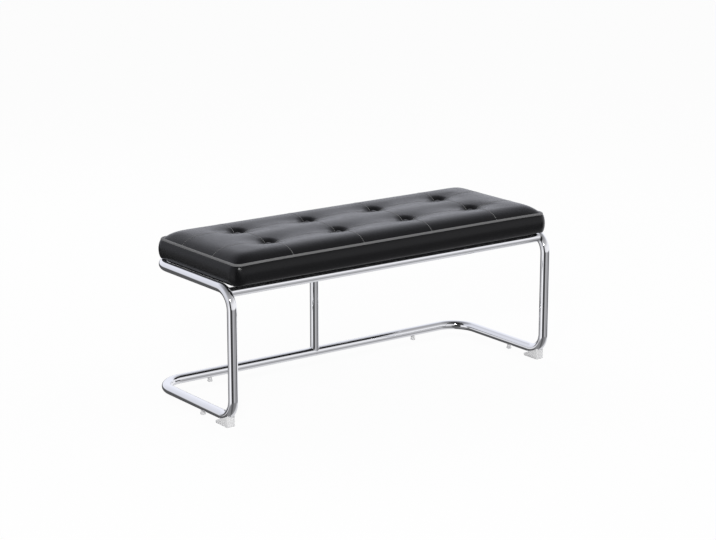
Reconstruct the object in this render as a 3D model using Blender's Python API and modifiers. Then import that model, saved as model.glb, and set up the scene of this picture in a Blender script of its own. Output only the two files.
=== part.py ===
"""An upholstered bench: a button-tufted cushion on a cantilever frame of bent chrome tube.

Sizes are in metres and +Z is up. The origin is on the floor under the middle of the bench,
and the legs stand on the front side, which is -Y.
"""

import math

import bmesh
import bpy
from mathutils import Matrix, Vector

# Fits between pieces that touch
FIT_GAP = 0.0003
PEG_CLEARANCE = 0.0004
SLEEVE_CLEARANCE = 0.0008

# Frame: one loop of tube, bent in two halves that meet in the middle of the back rails
LEG_SPACING = 1.000
FRAME_DEPTH = 0.368
FRAME_RISE = 0.325
TUBE_DIAMETER = 0.025
TUBE_WALL = 0.0015
LEG_BEND_RADIUS = 0.050
CORNER_BEND_RADIUS = 0.071
SLEEVE_LENGTH = 0.090

# Cross tubes welded into the loop
FRONT_RAIL_DIAMETER = 0.024
FRONT_RAIL_ANGLE = math.radians(33.5)
STRUT_DIAMETER = 0.024
CROSS_TUBE_WALL = 0.0015

# Plastic feet under the front bends, and round glides under the floor rails
FOOT_HEIGHT = 0.0115
FOOT_WIDTH = 0.024
FOOT_TOE_INSET = 0.012
FOOT_LENGTH = 0.054
FOOT_TOE_RISE = 0.0185
FOOT_HEEL_RISE = -0.0045
FOOT_EDGE = 0.0015
FOOT_PEG_DIAMETER = 0.008
FOOT_PEG_FROM_HEEL = 0.010
GLIDE_DIAMETER = 0.014
GLIDE_NECK_DIAMETER = 0.011
GLIDE_SADDLE = 0.003
GLIDE_EDGE = 0.0015
GLIDE_PEG_DIAMETER = 0.005
PEG_REACH = 0.005
SIDE_GLIDE_SETBACK = 0.142
REAR_GLIDE_SPACING = 0.674

# Cushion: its setbacks are from the frame's centre lines to the sewn seam round the top panel
CUSHION_SIDE_SETBACK = 0.009
CUSHION_BACK_SETBACK = 0.010
FRONT_OVERHANG = 0.006
CUSHION_CORNER_RADIUS = 0.022
PLATE_CORNER_RADIUS = 0.0135
BOXING_BULGE = 0.0085
BOXING_TUCK = 0.001
BOXING_HEIGHT = 0.0487
BULGE_POWER = 0.6
LIFT_POWER = 8
FRONT_LIFT = 0.0055
HEM_WIDTH = 0.020
SEAM_ALLOWANCE = 0.008
COVER_THICKNESS = 0.0012
FOAM_TOP_EASE = 0.0010
FOAM_SIDE_EASE = 0.0006
DUST_COVER_THICKNESS = 0.0008
DUST_COVER_LAP = 0.010
BOARD_THICKNESS = 0.012
BOARD_EASE = 0.0015

# Crown and tufts of the top panel
CROWN = 0.025
ROLL_WIDTH = 0.046
ROLL_POWER = 2.2
TUFT_COLUMNS = 4
TUFT_ROWS = 2
TUFT_PITCH_X = 0.2155
TUFT_PITCH_Y = 0.141
TUFT_DEPTH = 0.0165
TUFT_SEAT_RADIUS = 0.020
TUFT_RADIUS = 0.058
CHANNEL_DEPTH = 0.0036
CHANNEL_WIDTH = 0.035
BUTTON_DIAMETER = 0.024
BUTTON_HEIGHT = 0.006
BUTTON_EDGE = 0.0015
SHANK_DIAMETER = 0.004
SHANK_LENGTH = 0.004
TWINE_DIAMETER = 0.002
KNOT_DIAMETER = 0.009
KNOT_HEIGHT = 0.0011
TUFT_CLEARANCE = 0.0008

# Brackets and fasteners that hold the seat board on the frame
BRACKET_THICKNESS = 0.0025
BRACKET_WIDTH = 0.030
BRACKET_LEG = 0.040
BRACKET_BEND_RADIUS = 0.0015
BRACKET_BELOW_RAIL = 0.004
BRACKET_SPACING = 0.620
SCREW_FROM_TIP = 0.013
SCREW_DIAMETER = 0.006
SCREW_CLEARANCE = 0.0005
SCREW_HEAD_DIAMETER = 0.012
SCREW_HEAD_HEIGHT = 0.0035
SCREW_TIP_COVER = 0.0025
WASHER_DIAMETER = 0.014
WASHER_THICKNESS = 0.0012
T_NUT_FLANGE_DIAMETER = 0.019
T_NUT_FLANGE_THICKNESS = 0.0015
T_NUT_WALL = 0.0006
T_NUT_SETBACK = 0.0013
T_NUT_RECESS = 0.0002

# How finely round shapes are faceted
TUBE_SIDES = 12
BEND_STEPS = 6
CORNER_STEPS = 4
BUTTON_STEPS = 10
DOME_ANGLES = [math.radians(angle) for angle in (90, 58, 28, 0)]
SMALL_STEPS = 8
BOXING_RINGS = 5
LONGEST_CELL = 0.075
LEAST_CELL = 0.001
TUFT_LINES = (0.0, 0.014, 0.034)
ROLL_LINE = 0.030
WELD_DISTANCE = 0.00001
SHARP_ANGLE = math.radians(40)
FOOT_EDGE_STEPS = 2

# Places that follow from the sizes above
TUBE_RADIUS = TUBE_DIAMETER / 2
OVERALL_DEPTH = FRONT_OVERHANG + FRAME_DEPTH + TUBE_DIAMETER
BACK_Y = OVERALL_DEPTH / 2 - TUBE_RADIUS
FRONT_Y = BACK_Y - FRAME_DEPTH
FLOOR_RAIL_Z = FOOT_HEIGHT + TUBE_RADIUS
SEAT_RAIL_Z = FLOOR_RAIL_Z + FRAME_RISE
FRONT_RAIL_Y = FRONT_Y + LEG_BEND_RADIUS * (1 - math.sin(FRONT_RAIL_ANGLE))
FRONT_RAIL_Z = SEAT_RAIL_Z - LEG_BEND_RADIUS * (1 - math.cos(FRONT_RAIL_ANGLE))
HEM_Z = SEAT_RAIL_Z + TUBE_RADIUS + FIT_GAP
DUST_COVER_Z = HEM_Z - FIT_GAP - DUST_COVER_THICKNESS
BRACKET_TOP_Z = DUST_COVER_Z - FIT_GAP
BOARD_Z = HEM_Z + COVER_THICKNESS + FIT_GAP
BOARD_TOP_Z = BOARD_Z + BOARD_THICKNESS
FOAM_Z = BOARD_TOP_Z + FIT_GAP
SEAM_Z = HEM_Z + BOXING_HEIGHT
SEAM_FRONT_Y = FRONT_Y - TUBE_RADIUS - FRONT_OVERHANG + BOXING_BULGE
SEAM_BACK_Y = BACK_Y - CUSHION_BACK_SETBACK
SEAM_HALF_X = LEG_SPACING / 2 - CUSHION_SIDE_SETBACK
SEAM_HALF_Y = (SEAM_BACK_Y - SEAM_FRONT_Y) / 2
CUSHION_Y = (SEAM_BACK_Y + SEAM_FRONT_Y) / 2
LAYER = COVER_THICKNESS + FIT_GAP
SCREW_HOLE_RADIUS = SCREW_DIAMETER / 2 + SCREW_CLEARANCE
T_NUT_BORE_RADIUS = SCREW_DIAMETER / 2 + PEG_CLEARANCE
T_NUT_BARREL_RADIUS = T_NUT_BORE_RADIUS + T_NUT_WALL
TUFT_X = [TUFT_PITCH_X * (i - (TUFT_COLUMNS - 1) / 2) for i in range(TUFT_COLUMNS)]
TUFT_Y = [TUFT_PITCH_Y * (i - (TUFT_ROWS - 1) / 2) for i in range(TUFT_ROWS)]
TUFTS = [(x, y) for y in TUFT_Y for x in TUFT_X]

COLLECTION_NAME = "upholstered_bench"
CUTTER_COLLECTION_NAME = "cutters"


def clear_scene():
    """Removes whatever the scene holds."""
    for obj in list(bpy.data.objects):
        bpy.data.objects.remove(obj, do_unlink=True)


def make_collection(name):
    collection = bpy.data.collections.new(name)
    bpy.context.scene.collection.children.link(collection)
    return collection


def make_material(name, colour, roughness, metallic=0.0, transmission=0.0):
    """A Principled material of one colour."""
    material = bpy.data.materials.new(name)
    material.use_nodes = True
    shader = material.node_tree.nodes["Principled BSDF"]
    shader.inputs["Base Color"].default_value = (*colour, 1.0)
    shader.inputs["Roughness"].default_value = roughness
    shader.inputs["Metallic"].default_value = metallic
    shader.inputs["Transmission Weight"].default_value = transmission
    return material


def place_part(name, mesh, material):
    """Puts a mesh in the bench's collection as one named piece."""
    mesh.name = name
    mesh.materials.clear()
    mesh.materials.append(material)
    mesh.shade_smooth()
    mesh.set_sharp_from_angle(angle=SHARP_ANGLE)
    part = bpy.data.objects.new(name, mesh)
    PARTS.objects.link(part)
    return part


def place_cutter(name, mesh):
    """Puts a mesh in the cutters' collection, where nothing renders."""
    cutter = bpy.data.objects.new(name, mesh)
    cutter.hide_render = True
    cutter.display_type = "WIRE"
    CUTTERS.objects.link(cutter)
    return cutter


def join_shapes(part, other, operation):
    """Adds a Boolean of another object to a piece."""
    modifier = part.modifiers.new(f"{operation.lower()}_{other.name}", "BOOLEAN")
    modifier.operation = operation
    modifier.object = other
    modifier.solver = "EXACT"


def cut(part, *cutters):
    for cutter in cutters:
        join_shapes(part, cutter, "DIFFERENCE")


def mesh_of_curve(curve):
    """The welded mesh of a curve; the curve's own object is removed again."""
    guide = bpy.data.objects.new(curve.name, curve)
    bpy.context.scene.collection.objects.link(guide)
    graph = bpy.context.evaluated_depsgraph_get()
    mesh = bpy.data.meshes.new_from_object(guide.evaluated_get(graph))
    bpy.data.objects.remove(guide)
    weld = bmesh.new()
    weld.from_mesh(mesh)
    bmesh.ops.remove_doubles(weld, verts=weld.verts, dist=WELD_DISTANCE)
    weld.to_mesh(mesh)
    weld.free()
    return mesh


def tube_mesh(name, points, radius, tilt=0.0):
    """A round bar along a path of points, with closed ends; tilt turns its facets about the path."""
    curve = bpy.data.curves.new(name, "CURVE")
    curve.dimensions = "3D"
    curve.bevel_depth = radius
    curve.bevel_resolution = TUBE_SIDES // 2 - 2
    curve.use_fill_caps = True
    spline = curve.splines.new("POLY")
    spline.points.add(len(points) - 1)
    for point, place in zip(spline.points, points):
        point.co = (*place, 1.0)
        point.tilt = tilt
    return mesh_of_curve(curve)


def plate_mesh(name, outline, thickness):
    """A flat plate on the XY plane, centred on it, from a closed outline."""
    curve = bpy.data.curves.new(name, "CURVE")
    curve.dimensions = "2D"
    curve.fill_mode = "BOTH"
    curve.extrude = thickness / 2
    spline = curve.splines.new("POLY")
    spline.points.add(len(outline) - 1)
    spline.use_cyclic_u = True
    for point, (x, y) in zip(spline.points, outline):
        point.co = (x, y, 0.0, 1.0)
    return mesh_of_curve(curve)


def profile_mesh(name, profile, closed=False):
    """Points (radius, height) in the XZ plane, joined by edges, ready for a Screw modifier."""
    mesh = bpy.data.meshes.new(name)
    points = [(radius, 0.0, height) for radius, height in profile]
    edges = [(i, i + 1) for i in range(len(points) - 1)]
    if closed:
        edges.append((len(points) - 1, 0))
    mesh.from_pydata(points, edges, [])
    return mesh


def turn(obj, steps):
    """Revolves a profile about its object's Z axis."""
    screw = obj.modifiers.new("turned", "SCREW")
    screw.axis = "Z"
    screw.angle = math.tau
    screw.steps = steps
    screw.render_steps = steps
    screw.use_merge_vertices = True
    screw.merge_threshold = WELD_DISTANCE
    screw.use_normal_calculate = False


def cylinders_mesh(name, diameter, low, high, places, sides=SMALL_STEPS):
    """Upright cylinders at several places of the plan, in one mesh."""
    bm = bmesh.new()
    for x, y in places:
        centre = Matrix.Translation((x, y, (low + high) / 2))
        bmesh.ops.create_cone(
            bm,
            cap_ends=True,
            segments=sides,
            radius1=diameter / 2,
            radius2=diameter / 2,
            depth=high - low,
            matrix=centre,
        )
    mesh = bpy.data.meshes.new(name)
    bm.to_mesh(mesh)
    bm.free()
    return mesh


def rounded_path(corners, radii):
    """A path through corner points, with an arc of the given radius at each inner corner."""
    points = [Vector(corners[0])]
    for before, corner, after, radius in zip(corners, corners[1:], corners[2:], radii):
        corner = Vector(corner)
        incoming = (Vector(before) - corner).normalized()
        outgoing = (Vector(after) - corner).normalized()
        half_angle = incoming.angle(outgoing) / 2
        middle = corner + (incoming + outgoing).normalized() * radius / math.sin(half_angle)
        start = corner + incoming * radius / math.tan(half_angle) - middle
        axis = incoming.cross(outgoing)
        sweep = 2 * half_angle - math.pi
        for step in range(BEND_STEPS + 1):
            turned_by = Matrix.Rotation(sweep * step / BEND_STEPS, 3, axis)
            points.append(middle + turned_by @ start)
    points.append(Vector(corners[-1]))
    return points


def half_loop_path(side, end_x):
    """The path of one half of the frame, from behind the seat round to behind the floor rail."""
    x = side * LEG_SPACING / 2
    corners = [
        (side * end_x, BACK_Y, SEAT_RAIL_Z),
        (x, BACK_Y, SEAT_RAIL_Z),
        (x, FRONT_Y, SEAT_RAIL_Z),
        (x, FRONT_Y, FLOOR_RAIL_Z),
        (x, BACK_Y, FLOOR_RAIL_Z),
        (side * end_x, BACK_Y, FLOOR_RAIL_Z),
    ]
    radii = [CORNER_BEND_RADIUS, LEG_BEND_RADIUS, LEG_BEND_RADIUS, CORNER_BEND_RADIUS]
    return rounded_path(corners, radii)


def hollow_tube(name, points, bore_points, diameter, wall, material, copes=(), tilt=0.0):
    """A tube along a path, with its ends coped first and then bored right through."""
    part = place_part(name, tube_mesh(name, points, diameter / 2, tilt), material)
    bore_mesh = tube_mesh(f"{name}_bore", bore_points, diameter / 2 - wall, tilt)
    cut(part, *copes, place_cutter(f"{name}_bore", bore_mesh))
    return part


def straight_tube(name, start, end, diameter, wall, material, copes=()):
    """A straight hollow tube; its bore runs a little past both ends.

    Its facets are turned by half a facet, so that none lines up with those of a tube it is coped on.
    """
    start, end = Vector(start), Vector(end)
    spare = (end - start).normalized() * diameter
    bore_points = [start - spare, end + spare]
    half_facet = math.pi / TUBE_SIDES
    return hollow_tube(name, [start, end], bore_points, diameter, wall, material, copes, half_facet)


def tube_clearances():
    """Cutters that follow each half of the frame with the fit gap round it, run past the joint."""
    cutters = {}
    for side, label in ((-1, "left"), (1, "right")):
        path = half_loop_path(side, -STRUT_DIAMETER)
        mesh = tube_mesh(f"{label}_tube_clearance", path, TUBE_RADIUS + FIT_GAP)
        cutters[side] = place_cutter(f"{label}_tube_clearance", mesh)
    return cutters


def foot_peg_places(side):
    heel_y = FRONT_Y + FOOT_TOE_INSET + FOOT_LENGTH
    return [(side * LEG_SPACING / 2, heel_y - FOOT_PEG_FROM_HEEL)]


def glide_places(side):
    return [
        (side * LEG_SPACING / 2, FRONT_Y + SIDE_GLIDE_SETBACK),
        (side * REAR_GLIDE_SPACING / 2, BACK_Y),
    ]


def build_frame(chrome, steel, clearances):
    """The two bent halves of the loop, the sleeves inside their joints and the cross tubes."""
    low, high = FOOT_HEIGHT - PEG_REACH, FOOT_HEIGHT + TUBE_WALL + PEG_REACH / 2
    for side, label in ((-1, "left"), (1, "right")):
        name = f"{label}_frame_tube"
        path = half_loop_path(side, FIT_GAP / 2)
        bore_path = half_loop_path(side, -TUBE_DIAMETER)
        tube = hollow_tube(name, path, bore_path, TUBE_DIAMETER, TUBE_WALL, chrome)
        for fitting, diameter, places in (
            ("foot", FOOT_PEG_DIAMETER, foot_peg_places(side)),
            ("glide", GLIDE_PEG_DIAMETER, glide_places(side)),
        ):
            hole = f"{label}_{fitting}_peg_hole"
            mesh = cylinders_mesh(hole, diameter + 2 * PEG_CLEARANCE, low, high, places)
            cut(tube, place_cutter(hole, mesh))
    sleeve_diameter = TUBE_DIAMETER - 2 * TUBE_WALL - 2 * SLEEVE_CLEARANCE
    for label, z in (("seat", SEAT_RAIL_Z), ("floor", FLOOR_RAIL_Z)):
        start = (-SLEEVE_LENGTH / 2, BACK_Y, z)
        end = (SLEEVE_LENGTH / 2, BACK_Y, z)
        straight_tube(f"{label}_rail_sleeve", start, end, sleeve_diameter, TUBE_WALL, steel)
    straight_tube(
        "front_seat_rail",
        (-LEG_SPACING / 2, FRONT_RAIL_Y, FRONT_RAIL_Z),
        (LEG_SPACING / 2, FRONT_RAIL_Y, FRONT_RAIL_Z),
        FRONT_RAIL_DIAMETER,
        CROSS_TUBE_WALL,
        chrome,
        copes=(clearances[-1], clearances[1]),
    )
    straight_tube(
        "rear_strut",
        (0.0, BACK_Y, FLOOR_RAIL_Z),
        (0.0, BACK_Y, SEAT_RAIL_Z),
        STRUT_DIAMETER,
        CROSS_TUBE_WALL,
        chrome,
        copes=(clearances[-1],),
    )


def peg(name, diameter, place):
    """A moulded peg that stands up from a foot or glide into a hole in the tube."""
    low, high = FOOT_HEIGHT - PEG_REACH, FOOT_HEIGHT + PEG_REACH
    return place_cutter(name, cylinders_mesh(name, diameter, low, high, [place]))


def build_feet(plastic, clearances):
    """The wedge-shaped feet under the front bends and the round glides under the floor rails."""
    toe_y = FRONT_Y + FOOT_TOE_INSET
    heel_y = toe_y + FOOT_LENGTH
    toe_z, heel_z = FOOT_HEIGHT + FOOT_TOE_RISE, FOOT_HEIGHT + FOOT_HEEL_RISE
    outline = [(toe_y, 0.0), (heel_y, 0.0), (heel_y, heel_z), (toe_y, toe_z)]
    upright = Matrix(((0, 0, 1), (1, 0, 0), (0, 1, 0))).to_4x4()
    neck_top = FOOT_HEIGHT + GLIDE_SADDLE
    glide_profile = [
        (0.0, neck_top),
        (GLIDE_NECK_DIAMETER / 2, neck_top),
        (GLIDE_NECK_DIAMETER / 2, FOOT_HEIGHT / 2),
        (GLIDE_DIAMETER / 2, 2 * GLIDE_EDGE),
        (GLIDE_DIAMETER / 2, GLIDE_EDGE),
        (GLIDE_DIAMETER / 2 - GLIDE_EDGE, 0.0),
        (0.0, 0.0),
    ]
    for side, label in ((-1, "left"), (1, "right")):
        mesh = plate_mesh(f"front_foot_{label}", outline, FOOT_WIDTH)
        mesh.transform(Matrix.Translation((side * LEG_SPACING / 2, 0.0, 0.0)) @ upright)
        foot = place_part(f"front_foot_{label}", mesh, plastic)
        bevel = foot.modifiers.new("moulded_edges", "BEVEL")
        bevel.width = FOOT_EDGE
        bevel.segments = FOOT_EDGE_STEPS
        cut(foot, clearances[side])
        foot_peg = peg(f"front_foot_{label}_peg", FOOT_PEG_DIAMETER, foot_peg_places(side)[0])
        join_shapes(foot, foot_peg, "UNION")
        for row, (x, y) in zip(("side", "rear"), glide_places(side)):
            name = f"{row}_glide_{label}"
            glide = place_part(name, profile_mesh(name, glide_profile), plastic)
            glide.location = (x, y, 0.0)
            turn(glide, TUBE_SIDES)
            cut(glide, clearances[side])
            join_shapes(glide, peg(f"{name}_peg", GLIDE_PEG_DIAMETER, (x, y)), "UNION")


def into_outline(x, y):
    """A point of the seam's rectangle, drawn in so that the rectangle's corners become round."""
    radius = CUSHION_CORNER_RADIUS
    across = (abs(x) - (SEAM_HALF_X - radius)) / radius
    along = (abs(y) - (SEAM_HALF_Y - radius)) / radius
    if across <= 0 or along <= 0:
        return x, y
    round_x = SEAM_HALF_X - radius + radius * across * math.sqrt(1 - along * along / 2)
    round_y = SEAM_HALF_Y - radius + radius * along * math.sqrt(1 - across * across / 2)
    return math.copysign(round_x, x), math.copysign(round_y, y)


def outline_normal(x, y):
    """The way out of the seam's outline from a point near it."""
    across = abs(x) - (SEAM_HALF_X - CUSHION_CORNER_RADIUS)
    along = abs(y) - (SEAM_HALF_Y - CUSHION_CORNER_RADIUS)
    if across > 0 and along > 0:
        return Vector((math.copysign(across, x), math.copysign(along, y), 0.0)).normalized()
    if across > along:
        return Vector((math.copysign(1.0, x), 0.0, 0.0))
    return Vector((0.0, math.copysign(1.0, y), 0.0))


def depth_inside(x, y):
    """How far a point of the plan lies inside the seam."""
    across = abs(x) - (SEAM_HALF_X - CUSHION_CORNER_RADIUS)
    along = abs(y) - (SEAM_HALF_Y - CUSHION_CORNER_RADIUS)
    outside = math.hypot(max(across, 0.0), max(along, 0.0))
    return CUSHION_CORNER_RADIUS - outside - min(max(across, along), 0.0)


def seam_height(x, y):
    """Height of the seam's level, which the stuffing lifts along the middle of the front edge."""
    middle = 1 - min(abs(x) / SEAM_HALF_X, 1.0) ** LIFT_POWER
    return SEAM_Z + FRONT_LIFT * middle * (SEAM_HALF_Y - y) / (2 * SEAM_HALF_Y)


def ease(t):
    """A smooth step from 0 to 1."""
    t = min(max(t, 0.0), 1.0)
    return t * t * (3 - 2 * t)


def crown(x, y):
    """How far the stuffed top stands above the seam: a rolled edge, drawn down at the tufts."""
    edge = min(max(depth_inside(x, y), 0.0) / ROLL_WIDTH, 1.0)
    swell = 1 - (1 - edge) ** ROLL_POWER
    row = min(abs(y - tuft) for tuft in TUFT_Y)
    channel = CHANNEL_DEPTH * math.exp(-((row / CHANNEL_WIDTH) ** 2))
    reach = min(math.hypot(x - tuft_x, y - tuft_y) for tuft_x in TUFT_X for tuft_y in TUFT_Y)
    tuft = TUFT_DEPTH * (1 - ease((reach - TUFT_SEAT_RADIUS) / (TUFT_RADIUS - TUFT_SEAT_RADIUS)))
    return CROWN * swell - max(channel * swell, tuft)


def grid_lines(half, tufts):
    """Grid lines from -half to half, close together along the edges and round the tufts."""
    wanted = {-half, half}
    for inset in (ROLL_LINE, CUSHION_CORNER_RADIUS):
        wanted |= {half - inset, inset - half}
    for tuft in tufts:
        for offset in TUFT_LINES:
            wanted |= {tuft - offset, tuft + offset}
    lines = [-half]
    for line in sorted(line for line in wanted if -half < line <= half):
        gap = line - lines[-1]
        if gap < LEAST_CELL:
            continue
        cells = math.ceil(gap / LONGEST_CELL)
        start = lines[-1]
        lines.extend(start + gap * (i + 1) / cells for i in range(cells))
    return lines


def pillow_top(border_shift, drop):
    """The crowned top as an open grid, with its border moved in or out and all of it lowered."""
    lines_x = grid_lines(SEAM_HALF_X, TUFT_X)
    lines_y = grid_lines(SEAM_HALF_Y, TUFT_Y)
    cells_x, cells_y = len(lines_x) - 1, len(lines_y) - 1
    bm = bmesh.new()
    bmesh.ops.create_grid(bm, x_segments=cells_x, y_segments=cells_y, size=1.0)
    for vert in bm.verts:
        column = round((vert.co.x + 1) / 2 * cells_x)
        row = round((vert.co.y + 1) / 2 * cells_y)
        x, y = into_outline(lines_x[column], lines_y[row])
        vert.co = (x, y, seam_height(x, y) + crown(x, y) - drop)
        if vert.is_boundary:
            vert.co += outline_normal(x, y) * border_shift
            vert.co.z = seam_height(x, y) - drop
    bmesh.ops.triangulate(bm, faces=bm.faces, quad_method="SHORT_EDGE")
    return bm


def extrude_border(bm, move):
    """Grows a new ring from the open border; move gives each new corner its place."""
    border = [edge for edge in bm.edges if edge.is_boundary]
    grown = bmesh.ops.extrude_edge_only(bm, edges=border)["geom"]
    for vert in grown:
        if isinstance(vert, bmesh.types.BMVert):
            vert.co = move(vert.co)


def wall_shift(level):
    """How far the side wall stands outside the seam, at a level from 0 (hem) to 1 (seam)."""
    return BOXING_BULGE * math.sin(math.pi * level) ** BULGE_POWER + BOXING_TUCK * (1 - level)


def band_shift(level):
    """How far the band itself stands out: it runs straight from one ring of the wall to the next."""
    ring = min(math.floor(level * BOXING_RINGS), BOXING_RINGS - 1)
    part_way = level * BOXING_RINGS - ring
    below, above = wall_shift(ring / BOXING_RINGS), wall_shift((ring + 1) / BOXING_RINGS)
    return below + (above - below) * part_way


def wall_slant():
    """How much thicker a layer of the wall is sideways than square to it, where the wall slopes most."""
    rise = BOXING_HEIGHT / BOXING_RINGS
    rings = [wall_shift(ring / BOXING_RINGS) for ring in range(BOXING_RINGS + 1)]
    return max(math.hypot(1.0, (above - below) / rise) for below, above in zip(rings, rings[1:]))


def shifted(outwards, height):
    """A move along the outline's normal, to the height that a function of the plan gives."""

    def move(place):
        target = place + outline_normal(place.x, place.y) * outwards
        target.z = height(place.x, place.y)
        return target

    return move


def wall_height(level, drop=0.0):
    """The height of a level of the side wall, less a drop, as a function of the plan."""

    def height(x, y):
        foot = Vector((x, y, 0.0)) + outline_normal(x, y) * depth_inside(x, y)
        return HEM_Z + level * (seam_height(foot.x, foot.y) - HEM_Z) - drop

    return height


def mesh_from(bm, name):
    """Turns a bmesh made about the cushion's middle into mesh data at the cushion's place."""
    mesh = bpy.data.meshes.new(name)
    bm.to_mesh(mesh)
    bm.free()
    mesh.transform(Matrix.Translation((0.0, CUSHION_Y, 0.0)))
    return mesh


def give_thickness(part):
    """Thickens an open skin inwards to the cover's thickness."""
    solidify = part.modifiers.new("cover_thickness", "SOLIDIFY")
    solidify.thickness = COVER_THICKNESS
    solidify.offset = -1.0
    solidify.use_even_offset = True


def build_cover(leather, tuft_holes):
    """The sewn cover: a tufted top panel, and the side band that turns under the board."""
    bm = pillow_top(-LAYER, 0.0)
    extrude_border(bm, shifted(0.0, wall_height(1.0, SEAM_ALLOWANCE)))
    panel = place_part("cover_top_panel", mesh_from(bm, "cover_top_panel"), leather)
    give_thickness(panel)
    cut(panel, tuft_holes)

    bm = pillow_top(0.0, 0.0)
    top_faces = list(bm.faces)
    shift = 0.0
    for ring in range(1, BOXING_RINGS + 1):
        level = 1 - ring / BOXING_RINGS
        extrude_border(bm, shifted(wall_shift(level) - shift, wall_height(level)))
        shift = wall_shift(level)
    extrude_border(bm, shifted(-HEM_WIDTH, wall_height(0.0)))
    bmesh.ops.delete(bm, geom=top_faces, context="FACES")
    band = place_part("cover_boxing", mesh_from(bm, "cover_boxing"), leather)
    give_thickness(band)


def build_foam(foam, tuft_holes):
    """The foam pad: it fills the cover from the board up, with a shoulder under the seam allowance."""
    shift = -2 * LAYER - FOAM_SIDE_EASE
    bm = pillow_top(shift, LAYER + FOAM_TOP_EASE)
    under_seam = SEAM_ALLOWANCE + FOAM_TOP_EASE
    shoulder = wall_height(1.0, under_seam)
    extrude_border(bm, shifted(0.0, shoulder))
    top, base = 1 - under_seam / BOXING_HEIGHT, (FOAM_Z - HEM_Z) / BOXING_HEIGHT
    rings = [1 - ring / BOXING_RINGS for ring in range(BOXING_RINGS)]
    steps = [(level, wall_height(level)) for level in rings if base < level < top]
    for level, height in [(top, shoulder), *steps, (base, lambda x, y: FOAM_Z)]:
        target = band_shift(level) - (LAYER + FOAM_SIDE_EASE) * wall_slant()
        extrude_border(bm, shifted(target - shift, height))
        shift = target
    bmesh.ops.holes_fill(bm, edges=[edge for edge in bm.edges if edge.is_boundary], sides=0)
    bmesh.ops.recalc_face_normals(bm, faces=bm.faces)
    cut(place_part("foam_pad", mesh_from(bm, "foam_pad"), foam), tuft_holes)


def rounded_rectangle(half_x, half_y, radius):
    """The outline of a rectangle with round corners, anticlockwise."""
    outline = []
    for quarter, (side_x, side_y) in enumerate(((1, 1), (-1, 1), (-1, -1), (1, -1))):
        for step in range(CORNER_STEPS + 1):
            angle = math.pi / 2 * (quarter + step / CORNER_STEPS)
            x = side_x * (half_x - radius) + radius * math.cos(angle)
            y = side_y * (half_y - radius) + radius * math.sin(angle)
            outline.append((x, y))
    return outline


def cushion_plate(name, inset, thickness, low_z, material):
    """A flat sheet with the cushion's outline, drawn in from its side wall and rounded to clear the rear bends."""
    grow = BOXING_TUCK - inset
    outline = rounded_rectangle(
        SEAM_HALF_X + grow, SEAM_HALF_Y + grow, max(CUSHION_CORNER_RADIUS + grow, PLATE_CORNER_RADIUS)
    )
    mesh = plate_mesh(name, outline, thickness)
    mesh.transform(Matrix.Translation((0.0, CUSHION_Y, low_z + thickness / 2)))
    return place_part(name, mesh, material)


def tuft_places():
    return [(x, y + CUSHION_Y) for x, y in TUFTS]


def build_buttons(leather, cord):
    """The covered buttons, and the twine that holds each one down through the foam and the board."""
    radius = BUTTON_DIAMETER / 2
    dome_rise = BUTTON_HEIGHT - BUTTON_EDGE
    lean = radius * FRONT_LIFT / (2 * SEAM_HALF_Y)
    for number, (x, y) in enumerate(TUFTS, start=1):
        back = seam_height(x, y) + crown(x, y) + FIT_GAP + lean
        edge_z = back + BUTTON_EDGE
        dome = [(radius * math.cos(up), edge_z + dome_rise * math.sin(up)) for up in DOME_ANGLES]
        shank_end = back - SHANK_LENGTH
        button_profile = dome + [
            (radius - BUTTON_EDGE, back),
            (SHANK_DIAMETER / 2, back),
            (SHANK_DIAMETER / 2, shank_end),
            (0.0, shank_end),
        ]
        knot_top = BOARD_Z - FIT_GAP
        twine_profile = [
            (0.0, shank_end - FIT_GAP),
            (TWINE_DIAMETER / 2, shank_end - FIT_GAP),
            (TWINE_DIAMETER / 2, knot_top),
            (KNOT_DIAMETER / 2, knot_top),
            (KNOT_DIAMETER / 2, knot_top - KNOT_HEIGHT),
            (0.0, knot_top - KNOT_HEIGHT),
        ]
        for name, profile, steps, material in (
            (f"tuft_button_{number}", button_profile, BUTTON_STEPS, leather),
            (f"tuft_twine_{number}", twine_profile, SMALL_STEPS, cord),
        ):
            piece = place_part(name, profile_mesh(name, profile), material)
            piece.location = (x, y + CUSHION_Y, 0.0)
            turn(piece, steps)


def bracket_outline(drop):
    """An angle bracket from the side: a flat top leg and a leg that hangs down against the rail."""
    thickness = BRACKET_THICKNESS
    outer = BRACKET_BEND_RADIUS + thickness
    outline = [(BRACKET_LEG, -thickness), (BRACKET_LEG, 0.0)]
    arc = [math.pi / 2 * (1 + step / CORNER_STEPS) for step in range(CORNER_STEPS + 1)]
    outline += [(outer + outer * math.cos(a), -outer + outer * math.sin(a)) for a in arc]
    outline += [(0.0, -drop), (thickness, -drop)]
    inner = BRACKET_BEND_RADIUS
    outline += [(outer + inner * math.cos(a), -outer + inner * math.sin(a)) for a in reversed(arc)]
    return outline


def bracket_places():
    """Each bracket's name, its corner against the rail, the way it points and its rail's height."""
    front_y = FRONT_RAIL_Y + FRONT_RAIL_DIAMETER / 2 + FIT_GAP
    rear_y = BACK_Y - TUBE_RADIUS - FIT_GAP
    places = []
    for row, y, inwards, rail_z in (("front", front_y, 1, FRONT_RAIL_Z), ("rear", rear_y, -1, SEAT_RAIL_Z)):
        for label, side in (("left", -1), ("right", 1)):
            places.append((f"{row}_{label}", side * BRACKET_SPACING / 2, y, inwards, rail_z))
    return places


def screw_places():
    reach = BRACKET_LEG - SCREW_FROM_TIP
    return [(x, y + inwards * reach) for _, x, y, inwards, _ in bracket_places()]


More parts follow.
